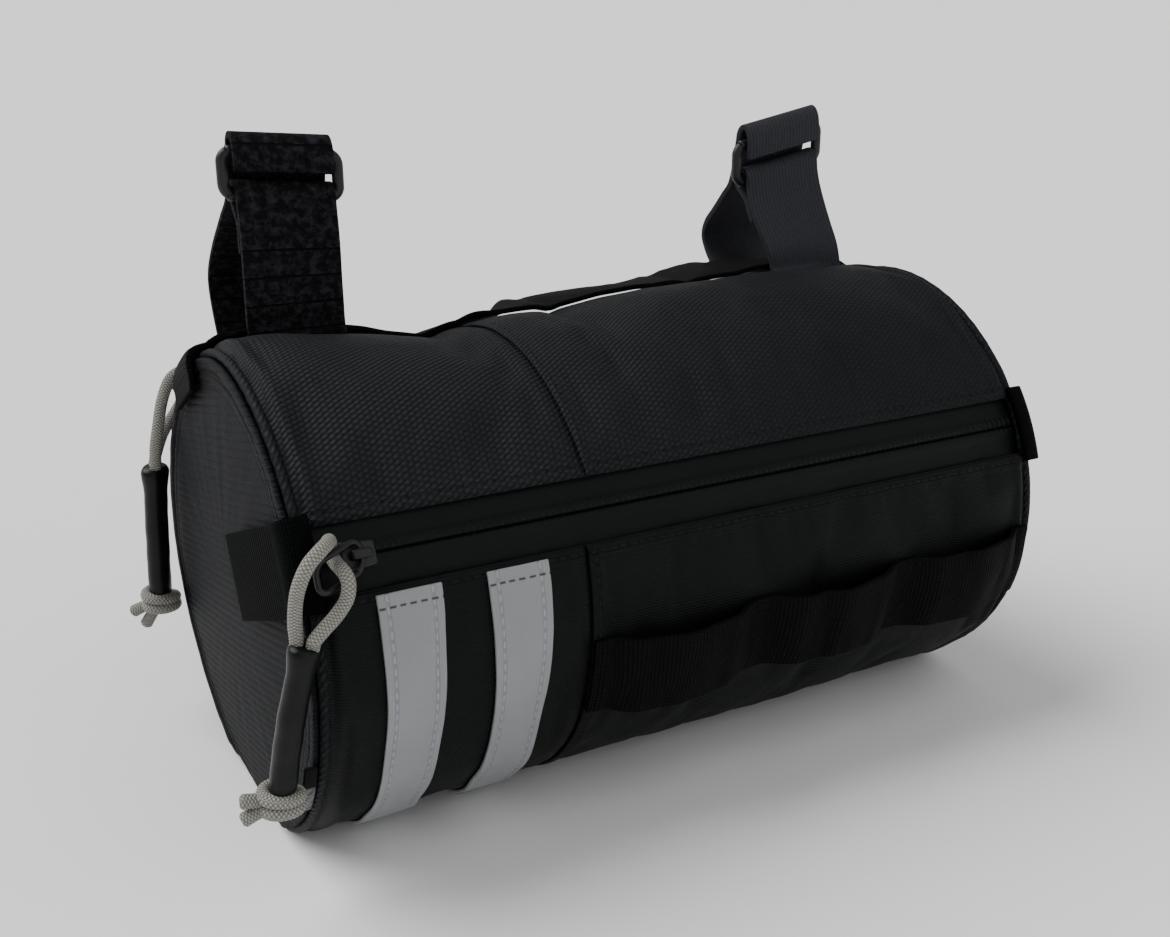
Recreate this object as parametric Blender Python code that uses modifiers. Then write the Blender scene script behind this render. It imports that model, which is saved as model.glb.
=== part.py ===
"""Bicycle handlebar bag: a soft barrel with two zips, two webbing ladders and two handlebar straps.

Metres, +Z up. X runs along the barrel from left to right and -Y is the front. The barrel's axis lies
above the origin at REST_HEIGHT, and the bag rests on a flat at z = 0 under its middle.
Angles round the barrel are in degrees, from the front (0) up over the top (90) to the back (180).
"""

import math
from collections import namedtuple

import bmesh
import bpy
from mathutils import Matrix, Vector

# Barrel
BAG_RADIUS = 0.058
BAG_LENGTH = 0.2024
REST_HEIGHT = 0.054
PANEL_THICKNESS = 0.0012
GAP = 0.0003
LEFT_REAR_LEAN = 0.002
CAP_BULGE = 0.0026
BINDING_DIAMETER = 0.0024

# Seams and zips
TOP_SEAM_X = -0.033
LOWER_SEAM_X = -0.037
FRONT_ZIP_ANGLE = 27.2
REAR_ZIP_ANGLE = 141.0
ZIP_WIDTH = 0.015
ZIP_HEM = 0.003
ZIP_SLIT = 0.0004
TAPE_THICKNESS = 0.001
COIL_DIAMETER = 0.002
SLIDER_LENGTH = 0.0078
SLIDER_WIDTH = 0.0068
SLIDER_HEIGHT = 0.0026
SLIDER_BEVEL = 0.0006
CROWN_LENGTH = 0.0046
CROWN_WIDTH = 0.0022
CROWN_HEIGHT = 0.0032
CROWN_BEVEL = 0.0005
BAIL_WIRE = 0.0014
BAIL_LENGTH = 0.0125
BAIL_WIDTH = 0.008
BAIL_RISE = 0.0035
BAIL_ROUNDING = 0.7
FRONT_BAIL_SWING = 20.0
REAR_BAIL_SWING = 0.0
FRONT_SLIDER_INSET = 0.0118
REAR_SLIDER_INSET = 0.0106

# Reflective strips
STRIP_WIDTH = 0.0148
STRIP_TAPER = 0.0022
STRIP_THICKNESS = 0.0008
FIRST_STRIP_INSET = 0.0212
STRIP_PITCH = 0.0255
STRIP_TOP_MARGIN = 0.0014
STRIP_END_ANGLE = -62.0

# Webbing, tabs and label
WEBBING_WIDTH = 0.0205
WEBBING_THICKNESS = 0.0014
FRONT_WEBBING_ANGLE = -12.5
REAR_WEBBING_ANGLE = 124.0
TAB_WIDTH = 0.020
TAB_THICKNESS = 0.0016
TAB_LENGTH = 0.0325
TAB_SKEW = 0.09
TAB_CURL_REACH = 0.004
RIM_HEM = 0.0029
RIM_STAND = 0.0019
RIM_DROP = 0.0052
REAR_WRAP = 0.004
REAR_WRAP_SHARE = 0.08
REAR_WRAP_CLEARANCE = 0.0006
LABEL_HEIGHT = 0.0168
LABEL_WIDTH = 0.0031
LABEL_THICKNESS = 0.001
LABEL_ANGLE = -27.5

# Handlebar straps and their rings
STRAP_WIDTH = 0.025
STRAP_THICKNESS = 0.0016
STRAP_SPACING = 0.1555
STRAP_CENTRE_X = 0.0023
RING_Y = 0.033
RING_Z = 0.0945
RING_LENGTH = 0.032
RING_BAR = 0.003
RING_BAR_SPACING = 0.0105
RING_CORNER = 0.0026
RING_SLACK = 0.00075

# Zip pulls
CORD_DIAMETER = 0.0031
SLEEVE_WIDTH = 0.0064
SLEEVE_DEPTH = 0.0046
KNOT_SIZE = (0.0112, 0.0084, 0.0078)
TAIL_LENGTH = 0.0085
TAIL_START = 0.0008

HALF = BAG_LENGTH / 2
PANEL_END = HALF - BINDING_DIAMETER - GAP
ZIP_HALF_ANGLE = math.degrees(ZIP_WIDTH / 2 / BAG_RADIUS)
HEM_ANGLE = math.degrees(ZIP_HEM / BAG_RADIUS)
SLIT_ANGLE = math.degrees(ZIP_SLIT / 2 / BAG_RADIUS)

# Sags and swellings of the cloth: where along the half length, at which angle, how deep as a share
# of the radius, and how far each reaches along the half length and round the barrel.
Dent = namedtuple("Dent", "along angle depth reach_along reach_round")
DENTS = (
    Dent(-0.430, 100, 0.053, 0.150, 34),
    Dent(-0.880, 100, -0.041, 0.131, 25),
    Dent(0.620, 98, -0.056, 0.786, 42),
    Dent(-0.093, 100, 0.024, 0.110, 32),
    Dent(-0.100, 58, 0.012, 0.300, 22),
    Dent(0.300, 165, 0.020, 0.350, 30),
)

# Webbing runs: place as a share of the half length, middle as degrees from the run's own angle,
# clearance under the webbing's first edge, and how much higher its other edge stands. Both of the
# last are shares of the webbing's width.
Stand = namedtuple("Stand", "along turn lift tilt", defaults=(0.0,))
FRONT_RUN = (
    Stand(-0.365, -0.2, 0.016),
    Stand(-0.330, -0.1, 0.016),
    Stand(-0.240, 0.1, 0.190),
    Stand(-0.130, 0.4, 0.270),
    Stand(-0.020, 0.6, 0.200),
    Stand(0.075, 0.8, 0.020),
    Stand(0.115, 0.9, 0.020),
    Stand(0.210, 1.1, 0.220),
    Stand(0.320, 1.3, 0.290),
    Stand(0.430, 1.5, 0.210),
    Stand(0.515, 1.7, 0.020),
    Stand(0.550, 1.7, 0.020),
    Stand(0.650, 1.9, 0.190),
    Stand(0.760, 2.1, 0.240),
    Stand(0.870, 2.3, 0.160),
    Stand(0.940, 2.5, 0.020),
    Stand(0.970, 2.5, 0.016),
)
REAR_RUN = (
    Stand(-0.971, -5.0, 0.040, 0.000),
    Stand(-0.935, -3.5, 0.070, 0.000),
    Stand(-0.870, 1.5, 0.130, 0.020),
    Stand(-0.740, 1.5, 0.140, 0.020),
    Stand(-0.620, 1.5, 0.140, 0.020),
    Stand(-0.500, -0.5, 0.040, 0.000),
    Stand(-0.430, -3.0, 0.020, 0.000),
    Stand(-0.380, -4.0, 0.020, 0.000),
    Stand(-0.300, -5.0, 0.060, 0.000),
    Stand(-0.210, -6.0, 0.016, 0.050),
    Stand(-0.110, -7.0, 0.050, 0.340),
    Stand(-0.020, -8.0, 0.016, 0.330),
    Stand(0.130, -8.0, 0.016, 0.340),
    Stand(0.250, -8.0, 0.016, 0.370),
    Stand(0.340, -7.0, 0.060, 0.400),
    Stand(0.430, -6.0, 0.140, 0.420),
    Stand(0.520, -5.0, 0.160, 0.440),
    Stand(0.650, -4.0, 0.200, 0.420),
    Stand(0.790, -4.0, 0.200, 0.360),
    Stand(0.925, -3.0, 0.120, 0.260),
    Stand(0.970, -3.0, 0.016, 0.000),
)

# Strap shapes, each named for its side: lean of the front band towards the front and of the rear
# band towards the back, the flap below the ring's upper bar, the height of the fold over that bar,
# the ring's tilt in degrees, how far it has slid along the barrel, and how much lower it hangs.
# All but the tilt are shares of the strap's width.
Strap = namedtuple("Strap", "side hand front_lean rear_lean flap fold ring_tilt slide drop")
STRAPS = (
    Strap("left", -1, 0.192, 0.980, 0.104, 0.040, 4.5, 0.052, 0.000),
    Strap("right", 1, 0.392, 0.760, 0.160, 0.080, -11.0, -0.088, 0.092),
)
# Both bands between the barrel and the ring: how far up, and each strap's share of its lean there.
Band = namedtuple("Band", "rise left right")
FRONT_BAND = (
    Band(0.06, 1.10, 1.10),
    Band(0.24, 0.96, 0.96),
    Band(0.42, 0.68, 0.68),
    Band(0.60, 0.42, 0.42),
    Band(0.78, 0.18, 0.18),
    Band(0.92, 0.04, 0.04),
)
REAR_BAND = (
    Band(0.98, 0.14, 0.14),
    Band(0.84, 0.46, 0.34),
    Band(0.68, 0.80, 0.60),
    Band(0.52, 1.00, 0.87),
    Band(0.36, 0.92, 1.00),
    Band(0.21, 0.78, 0.93),
    Band(0.08, 0.68, 0.74),
)
TUCK_RISES = (0.80, 0.70, 0.58)
TUCK_DEPTH = 0.0021

# Routes of the two pull cords, chosen by hand: x from the barrel's left end, y and z from its axis,
# all as shares of the barrel's radius.
FRONT_CORD = (
    (-0.0741, -1.0138, 0.2345),
    (-0.0759, -1.0172, 0.3103),
    (-0.0700, -1.0310, 0.4000),
    (-0.0560, -1.0500, 0.4700),
    (-0.0250, -1.0560, 0.5300),
    (0.0220, -1.0340, 0.5600),
    (0.0620, -0.9880, 0.5620),
    (0.0900, -0.9350, 0.5520),
    (0.1020, -0.9050, 0.5180),
    (0.1040, -0.9120, 0.4850),
    (0.1060, -0.9450, 0.4680),
    (0.1090, -0.9900, 0.4630),
    (0.1120, -1.0300, 0.4520),
    (0.1110, -1.0570, 0.4250),
    (0.0960, -1.0680, 0.3800),
    (0.0560, -1.0710, 0.3300),
    (0.0080, -1.0680, 0.2850),
    (-0.0200, -1.0570, 0.2500),
    (-0.0260, -1.0480, 0.2293),
)
FRONT_SLEEVE = (
    (-0.0466, -1.0276, 0.2241),
    (-0.0690, -1.0190, 0.1207),
    (-0.1069, -0.9897, -0.0690),
    (-0.1276, -0.9517, -0.2414),
    (-0.1414, -0.9224, -0.3897),
)
REAR_CORD = (
    (-0.1379, 0.8086, 0.3397),
    (-0.1345, 0.7793, 0.4397),
    (-0.1172, 0.7586, 0.5431),
    (-0.0862, 0.7724, 0.6517),
    (-0.0414, 0.7862, 0.7379),
    (0.0069, 0.7776, 0.7724),
    (0.0431, 0.7621, 0.7586),
    (0.0534, 0.7534, 0.7328),
    (0.0552, 0.7741, 0.6983),
    (0.0552, 0.8069, 0.6845),
    (0.0552, 0.8500, 0.6879),
    (0.0552, 0.8966, 0.6914),
    (0.0552, 0.9293, 0.6707),
    (0.0483, 0.9431, 0.6241),
    (0.0276, 0.9483, 0.5776),
    (-0.0138, 0.9431, 0.5224),
    (-0.0621, 0.9259, 0.4655),
    (-0.1000, 0.8914, 0.4103),
    (-0.1293, 0.8586, 0.3517),
)
REAR_SLEEVE = (
    (-0.1362, 0.8293, 0.3328),
    (-0.1448, 0.8517, 0.1552),
    (-0.1500, 0.8828, -0.0345),
    (-0.1517, 0.9138, -0.1897),
    (-0.1517, 0.9414, -0.3310),
)

# Leans of each knot's two short tails.
FRONT_TAILS = ((-0.95, 0.1, 0.25), (-0.9, 0.1, -0.25))
REAR_TAILS = ((-0.85, 0.45, -0.35), (-0.5, 0.3, -0.8))

parts = None
helpers = None


def start_scene():
    """Empty the scene and add one collection for the bag and one for its cutters."""
    global parts, helpers
    for old in list(bpy.data.objects):
        bpy.data.objects.remove(old, do_unlink=True)
    parts = bpy.data.collections.new("handlebar_bag")
    helpers = bpy.data.collections.new("cutters")
    for group in (parts, helpers):
        bpy.context.scene.collection.children.link(group)


def finish_material(name, colour, roughness, metallic=0.0):
    made = bpy.data.materials.get(name)
    if made is None:
        made = bpy.data.materials.new(name)
        made.use_nodes = True
        surface = made.node_tree.nodes["Principled BSDF"]
        surface.inputs["Base Color"].default_value = (*colour, 1)
        surface.inputs["Roughness"].default_value = roughness
        surface.inputs["Metallic"].default_value = metallic
    return made


def coarse_cloth():
    return finish_material("coarse_cloth", (0.028, 0.030, 0.033), 0.85)


def cap_cloth():
    return finish_material("cap_cloth", (0.036, 0.039, 0.043), 0.8)


def coated_cloth():
    return finish_material("coated_cloth", (0.016, 0.018, 0.020), 0.6)


def zip_tape():
    return finish_material("zip_tape", (0.008, 0.009, 0.011), 0.4)


def webbing_cloth():
    return finish_material("webbing", (0.006, 0.006, 0.007), 0.8)


def strap_cloth():
    return finish_material("strap", (0.010, 0.010, 0.012), 0.9)


def reflector():
    return finish_material("reflector", (0.30, 0.30, 0.32), 0.35)


def dark_plastic():
    return finish_material("dark_plastic", (0.030, 0.031, 0.034), 0.45)


def black_metal():
    return finish_material("black_metal", (0.02, 0.02, 0.022), 0.35, 1.0)


def grey_cord():
    return finish_material("grey_cord", (0.42, 0.40, 0.36), 0.85)


def label_cloth():
    return finish_material("label_cloth", (0.25, 0.25, 0.26), 0.8)


def add_object(name, data, material, group=None):
    obj = bpy.data.objects.new(name, data)
    (group or parts).objects.link(obj)
    data.materials.append(material)
    return obj


def add_mesh(name, bm, material, group=None):
    mesh = bpy.data.meshes.new(name)
    bm.to_mesh(mesh)
    bm.free()
    mesh.shade_smooth()
    return add_object(name, mesh, material, group)


def solidify(obj, thickness, offset):
    wall = obj.modifiers.new("wall", "SOLIDIFY")
    wall.thickness = thickness
    wall.offset = offset
    wall.use_even_offset = False


def cloth_sheet(name, place, cells, thickness, offset, material):
    """A sheet whose point at shares (u, v) is place(u, v), with its wall behind, about or before it."""
    bm = bmesh.new()
    bmesh.ops.create_grid(bm, x_segments=cells[0], y_segments=cells[1], size=0.5)
    for vert in bm.verts:
        vert.co = place(vert.co.x + 0.5, vert.co.y + 0.5)
    obj = add_mesh(name, bm, material)
    solidify(obj, thickness, offset)
    return obj


def blend(low, high, share):
    return low + (high - low) * share


def smooth_step(share):
    share = min(max(share, 0.0), 1.0)
    return share * share * (3 - 2 * share)


def spline_point(points, share):
    """The point at a share of the way along a smooth curve through points, which are equal-sized rows."""
    spans = len(points) - 1
    start = min(int(share * spans), spans - 1)
    t = share * spans - start
    rows = [points[min(max(start + k, 0), spans)] for k in (-1, 0, 1, 2)]
    made = []
    for a, b, c, d in zip(*rows):
        made.append(
            b + 0.5 * t * (c - a + t * (2 * a - 5 * b + 4 * c - d + t * (3 * (b - c) + d - a)))
        )
    return made


def spline_points(points, count):
    """Evenly spaced points along the smooth curve through points."""
    dense = [Vector(spline_point(points, i / 400)) for i in range(401)]
    walked = [0.0]
    for a, b in zip(dense, dense[1:]):
        walked.append(walked[-1] + (b - a).length)
    made = []
    at = 0
    for i in range(count):
        goal = walked[-1] * i / (count - 1)
        while at < len(walked) - 2 and walked[at + 1] < goal:
            at += 1
        span = walked[at + 1] - walked[at]
        made.append(dense[at].lerp(dense[at + 1], (goal - walked[at]) / span))
    return made


def run_at(run, along):
    """The row of a webbing run at a share of the half length, smoothly between the table's rows."""
    for low, high in zip(run, run[1:]):
        if along <= high.along:
            share = smooth_step((along - low.along) / (high.along - low.along))
            return Stand(*(blend(a, b, share) for a, b in zip(low, high)))
    return run[-1]


def barrel_radius(x, angle):
    along = x / HALF
    depth = 0.0
    for dent in DENTS:
        turned = (angle - dent.angle + 180) % 360 - 180
        depth += dent.depth * math.exp(
            -(((along - dent.along) / dent.reach_along) ** 2) - (turned / dent.reach_round) ** 2
        )
    return BAG_RADIUS * (1 - depth)


def barrel_point(x, angle, lift=0.0):
    """A point at a lift above the barrel's outer cloth, which is flat where the bag rests."""
    radius = barrel_radius(x, angle) + lift
    turned = math.radians(angle)
    height = max(radius * math.sin(turned), -REST_HEIGHT - lift)
    return Vector((x, -radius * math.cos(turned), REST_HEIGHT + height))


def barrel_frame(x, angle, lift):
    """A frame on the barrel: its X along the barrel, its Y round it and its Z outwards."""
    turned = math.radians(angle)
    outwards = Vector((0, -math.cos(turned), math.sin(turned)))
    round_it = Vector((0, math.sin(turned), math.cos(turned)))
    frame = Matrix.Identity(4)
    for row in range(3):
        frame[row][0] = (1.0, 0.0, 0.0)[row]
        frame[row][1] = round_it[row]
        frame[row][2] = outwards[row]
    frame.translation = barrel_point(x, angle, lift)
    return frame


def rim_shift(side, angle):
    """How far the rim stands out past the half length, where the left end leans at the back."""
    if side > 0:
        return 0.0
    return LEFT_REAR_LEAN * max(0.0, -math.cos(math.radians(angle))) ** 2


def panel_x(side, angle):
    return side * (PANEL_END + rim_shift(side, angle))


def add_panels():
    """The cloth of the barrel: two upper panels, two lower ones that wrap under it, with open seams."""
    front = FRONT_ZIP_ANGLE + ZIP_HALF_ANGLE
    back = REAR_ZIP_ANGLE - ZIP_HALF_ANGLE
    low = REAR_ZIP_ANGLE + ZIP_HALF_ANGLE - 360
    high = FRONT_ZIP_ANGLE - ZIP_HALF_ANGLE
    rows = (
        ("upper_panel", TOP_SEAM_X, front, back, (8, 13), 16, coarse_cloth()),
        ("lower_panel", LOWER_SEAM_X, low, high, (3, 5), 34, coated_cloth()),
    )
    for name, seam, first, last, cells, turns, material in rows:
        for side, label, count in ((-1, "left", cells[0]), (1, "right", cells[1])):

            def place(u, v):
                angle = blend(first, last, v)
                inner = seam + side * GAP / 2
                outer = panel_x(side, angle)
                ends = (outer, inner) if side < 0 else (inner, outer)
                return barrel_point(blend(*ends, u), angle)

            cloth_sheet(f"{name}_{label}", place, (count, turns), PANEL_THICKNESS, -1, material)


def add_zip(name, angle):
    """Two tapes behind the panels' edges, with the coil behind the slit between them."""
    behind = -PANEL_THICKNESS - GAP
    reach = ZIP_HALF_ANGLE + HEM_ANGLE
    for label, first, last in (("upper", SLIT_ANGLE, reach), ("lower", -reach, -SLIT_ANGLE)):

        def place(u, v):
            at = angle + blend(first, last, v)
            return barrel_point(blend(panel_x(-1, at), panel_x(1, at), u), at, behind)

        cloth_sheet(f"{name}_tape_{label}", place, (16, 2), TAPE_THICKNESS, -1, zip_tape())
    depth = PANEL_THICKNESS + GAP + TAPE_THICKNESS + GAP + COIL_DIAMETER / 2
    route = [barrel_point(blend(-PANEL_END, PANEL_END, i / 8), angle, -depth) for i in range(9)]
    add_tube(f"{name}_coil", route, COIL_DIAMETER, zip_tape())


def add_tube(name, route, diameter, material, cyclic=False, resolution=1):
    """A round tube along a route, with filled ends unless it is closed."""
    curve = bpy.data.curves.new(name, "CURVE")
    curve.dimensions = "3D"
    curve.bevel_depth = diameter / 2
    curve.bevel_resolution = resolution
    curve.use_fill_caps = not cyclic
    spline = curve.splines.new("POLY")
    spline.points.add(len(route) - 1)
    for point, at in zip(spline.points, route):
        point.co = (*at, 1)
    spline.use_cyclic_u = cyclic
    return add_object(name, curve, material)


def cap_point(side, across, up, lift=0.0):
    """A point of an end disc's outside, at shares of its radius, with a lift outwards."""
    share = min(1.0, math.hypot(across, up))
    angle = math.degrees(math.atan2(up, -across))
    edge = barrel_radius(side * HALF, angle) - BINDING_DIAMETER - GAP
    bulge = CAP_BULGE * (1 - share**2)
    seat = HALF - BINDING_DIAMETER / 2 + PANEL_THICKNESS / 2
    x = seat + bulge + rim_shift(side, angle) * share**2 + lift
    height = max(edge * up, BINDING_DIAMETER + GAP - REST_HEIGHT)
    return Vector((side * x, edge * across, REST_HEIGHT + height))


def add_caps():
    """The two end discs, a little bulged, and the round bindings between them and the barrel."""
    for side, label in ((-1, "left"), (1, "right")):

        def place(u, v):
            a = 2 * u - 1
            b = 2 * v - 1
            across = a * math.sqrt(1 - b * b / 2)
            up = b * math.sqrt(1 - a * a / 2)
            return cap_point(side, side * across, up)

        cloth_sheet(f"end_cap_{label}", place, (9, 9), PANEL_THICKNESS, -1, cap_cloth())
        route = []
        turns = 44
        for i in range(turns):
            angle = 360 * i / turns
            x = side * (HALF - BINDING_DIAMETER / 2 + rim_shift(side, angle))
            route.append(barrel_point(x, angle, -BINDING_DIAMETER / 2))
        add_tube(f"rim_binding_{label}", route, BINDING_DIAMETER, coarse_cloth(), cyclic=True)


def add_strips():
    """Two reflective strips from under the front zip down round the front to the underside."""
    top = FRONT_ZIP_ANGLE - ZIP_HALF_ANGLE - math.degrees(STRIP_TOP_MARGIN / BAG_RADIUS)
    for i in range(2):
        middle = FIRST_STRIP_INSET - HALF + i * STRIP_PITCH

        def place(u, v):
            width = STRIP_WIDTH - STRIP_TAPER * smooth_step(2 - 2 * v)
            x = middle - STRIP_WIDTH / 2 + u * width
            return barrel_point(x, blend(STRIP_END_ANGLE, top, v), GAP)

        cloth_sheet(f"reflective_strip_{i + 1}", place, (1, 13), STRIP_THICKNESS, 1, reflector())


def webbing_point(run, angle, along, v):
    """A point of a webbing's inside at a share of the half length, and v of its width."""
    row = run_at(run, along)
    lift = max((row.lift + row.tilt * v) * WEBBING_WIDTH, GAP)
    turn = math.degrees((v - 0.5) * WEBBING_WIDTH / (BAG_RADIUS + lift))
    return barrel_point(along * HALF, angle + row.turn + turn, lift)


def add_front_webbing():
    """A ladder webbing across the front, sewn down between its loops."""
    first = FRONT_RUN[0].along
    last = FRONT_RUN[-1].along

    def place(u, v):
        return webbing_point(FRONT_RUN, FRONT_WEBBING_ANGLE, blend(first, last, u), v)

    cloth_sheet("front_webbing", place, (42, 2), WEBBING_THICKNESS, 1, webbing_cloth())


def over_rim(side, angle, share, length, clear):
    """Inside of a band that comes off the barrel, goes over the rim and lies on the end disc."""
    shift = rim_shift(side, angle)
    stations = (
        (HALF - RIM_HEM, GAP + clear),
        (HALF - BINDING_DIAMETER / 2, GAP * 1.3 + clear),
        (HALF + BINDING_DIAMETER / 2, clear - GAP),
        (HALF + RIM_STAND * 1.05, -RIM_DROP * 0.46),
        (HALF + RIM_STAND, -RIM_DROP),
    )
    x, lift = spline_point(stations, min(1.0, share * 2))
    deeper = max(0.0, share - 0.5) * 2 * length
    if deeper:
        x = HALF + RIM_STAND + CAP_BULGE * (1 - (1 - deeper / BAG_RADIUS) ** 2)
        lift = -RIM_DROP - deeper
    return side * (x + shift), lift, deeper * TAB_SKEW


def tab_point(side, angle, share, v, length, clear=0.0):
    x, lift, skew = over_rim(side, angle, share, length, clear)
    point = barrel_point(x, angle, lift)
    turned = math.radians(angle)
    round_it = Vector((0, math.sin(turned), math.cos(turned)))
    curl = (BAG_RADIUS + lift) * (1 - math.cos((v - 0.5) * TAB_WIDTH / BAG_RADIUS))
    if lift > -TAB_CURL_REACH:
        point -= Vector((0, -math.cos(turned), math.sin(turned))) * curl
    return point + round_it * ((v - 0.5) * TAB_WIDTH + skew)


def add_tabs():
    """The grosgrain tabs that close the front zip's ends, over the rim and down on the discs."""
    for side, label in ((-1, "left"), (1, "right")):

        def place(u, v):
            share = u if side > 0 else 1 - u
            return tab_point(side, FRONT_ZIP_ANGLE, share, v, TAB_LENGTH)

        cloth_sheet(f"front_zip_tab_{label}", place, (15, 2), TAB_THICKNESS, 1, webbing_cloth())


def add_rear_webbing():
    """A ladder webbing along the back of the top, which the handlebar straps pass under."""
    first = REAR_RUN[0].along
    last = REAR_RUN[-1].along
    wrap = REAR_WRAP_SHARE

    def place(u, v):
        if u < wrap:
            angle = REAR_WEBBING_ANGLE + REAR_RUN[0].turn
            return tab_point(-1, angle, 1 - u / wrap, v, REAR_WRAP, REAR_WRAP_CLEARANCE)
        return webbing_point(REAR_RUN, REAR_WEBBING_ANGLE, blend(first, last, (u - wrap) / (1 - wrap)), v)

    cloth_sheet("rear_webbing", place, (50, 3), WEBBING_THICKNESS, 1, webbing_cloth())


def strap_side(strap, x):
    """The strap's middle line in the YZ plane at x, from its flap over the ring to its tucked end."""
    reach = RING_BAR / 2 + RING_SLACK + STRAP_THICKNESS / 2
    high = ring_height(strap) + RING_BAR_SPACING / 2
    low = ring_height(strap) - RING_BAR_SPACING / 2
    fold = reach + strap.fold * STRAP_WIDTH
    line = [(RING_Y - reach, high - strap.flap * STRAP_WIDTH)]
    for turn in range(0, 181, 30):
        bent = math.radians(turn)
        line.append((RING_Y - reach * math.cos(bent), high + fold * math.sin(bent)))
    row = run_at(REAR_RUN, x / HALF)
    under = math.degrees(WEBBING_WIDTH / 2 / BAG_RADIUS)
    base = []
    for share in (1.2, 0.6, 0.0, -0.6, -1.2):
        clear = (row.lift + row.tilt * (1 + share) / 2) * WEBBING_WIDTH
        turned = REAR_WEBBING_ANGLE + row.turn + share * under
        point = barrel_point(x, turned, clear - 2 * GAP - STRAP_THICKNESS / 2)
        base.append((point.y, point.z - REST_HEIGHT))
    foot = base[0][1]
    for row in REAR_BAND:
        y = RING_Y + reach + strap.rear_lean * STRAP_WIDTH * getattr(row, strap.side)
        line.append((y, blend(foot, low, row.rise)))
    line += base
    foot = base[-1][1]
    for row in FRONT_BAND:
        y = RING_Y - reach - strap.front_lean * STRAP_WIDTH * getattr(row, strap.side)
        line.append((y, blend(foot, low, row.rise)))
    for turn in range(0, 211, 30):
        bent = math.radians(turn)
        line.append((RING_Y - reach * math.cos(bent), low + reach * math.sin(bent)))
    for rise in TUCK_RISES:
        lean = strap.front_lean * STRAP_WIDTH * band_share(FRONT_BAND, strap.side, rise)
        line.append((RING_Y - reach - lean + TUCK_DEPTH, blend(foot, low, rise)))
    return line


def band_share(band, side, rise):
    """A strap's share of its lean at a rise between the rows of its band."""
    for low, high in zip(band, band[1:]):
        if rise <= high.rise:
            share = (rise - low.rise) / (high.rise - low.rise)
            return blend(getattr(low, side), getattr(high, side), share)
    return getattr(band[-1], side)


def strap_middle(strap):
    return STRAP_CENTRE_X + strap.hand * STRAP_SPACING / 2


def ring_height(strap):
    return RING_Z - strap.drop * STRAP_WIDTH


def ring_shear(strap, height):
    """Slope along X and slide at a height over the axis: none at the barrel, the ring's at the ring."""
    rise = smooth_step((height - BAG_RADIUS) / (ring_height(strap) - BAG_RADIUS - RING_BAR_SPACING))
    return -math.tan(math.radians(strap.ring_tilt)) * rise, strap.slide * STRAP_WIDTH * rise


def add_straps():
    """Two straps that loop up through the rear webbing and are cinched in a ring."""
    for strap in STRAPS:
        middle = strap_middle(strap)
        count = 64
        lines = []
        for across in (-0.5, 0, 0.5):
            lines.append(spline_points(strap_side(strap, middle + across * STRAP_WIDTH), count))

        def place(u, v):
            y, z = lines[round(u * 2)][round(v * (count - 1))]
            x = (u - 0.5) * STRAP_WIDTH
            slope, slid = ring_shear(strap, z)
            return Vector((middle + x + slid, y, REST_HEIGHT + z + x * slope))

        cloth_sheet(f"strap_{strap.side}", place, (2, count - 1), STRAP_THICKNESS, 0, strap_cloth())
        add_ring(strap)


def add_ring(strap):
    """A plastic loop of two long bars with rounded ends."""
    half_long = RING_LENGTH / 2 - RING_BAR / 2
    half_high = RING_BAR_SPACING / 2
    slope, slid = ring_shear(strap, RING_Z)
    middle = strap_middle(strap) + slid
    height = REST_HEIGHT + ring_height(strap)
    route = []
    for sign_x, sign_z, start in ((1, 1, 0), (-1, 1, 90), (-1, -1, 180), (1, -1, 270)):
        for step in range(4):
            turned = math.radians(start + step * 30)
            x = sign_x * (half_long - RING_CORNER) + RING_CORNER * math.cos(turned)
            z = sign_z * (half_high - RING_CORNER) + RING_CORNER * math.sin(turned)
            route.append((middle + x, RING_Y, height + z + x * slope))
    add_tube(f"ring_{strap.side}", route, RING_BAR, dark_plastic(), cyclic=True, resolution=2)


def add_block(name, size, centre, material, group=None, bevel=0.0):
    """A block at a centre, with its edges bevelled."""
    bm = bmesh.new()
    place = Matrix.Translation(centre) @ Matrix.Diagonal((*size, 1))
    bmesh.ops.create_cube(bm, size=1, matrix=place)
    obj = add_mesh(name, bm, material, group)
    if bevel:
        edge = obj.modifiers.new("edge", "BEVEL")
        edge.width = bevel
        edge.segments = 1
    return obj


def combine(obj, other, operation):
    """Joins a helper to an object or cuts it away, and hides the helper."""
    other.hide_render = True
    other.display_type = "WIRE"
    made = obj.modifiers.new(operation.lower(), "BOOLEAN")
    made.operation = operation
    made.object = other
    made.solver = "EXACT"


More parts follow.
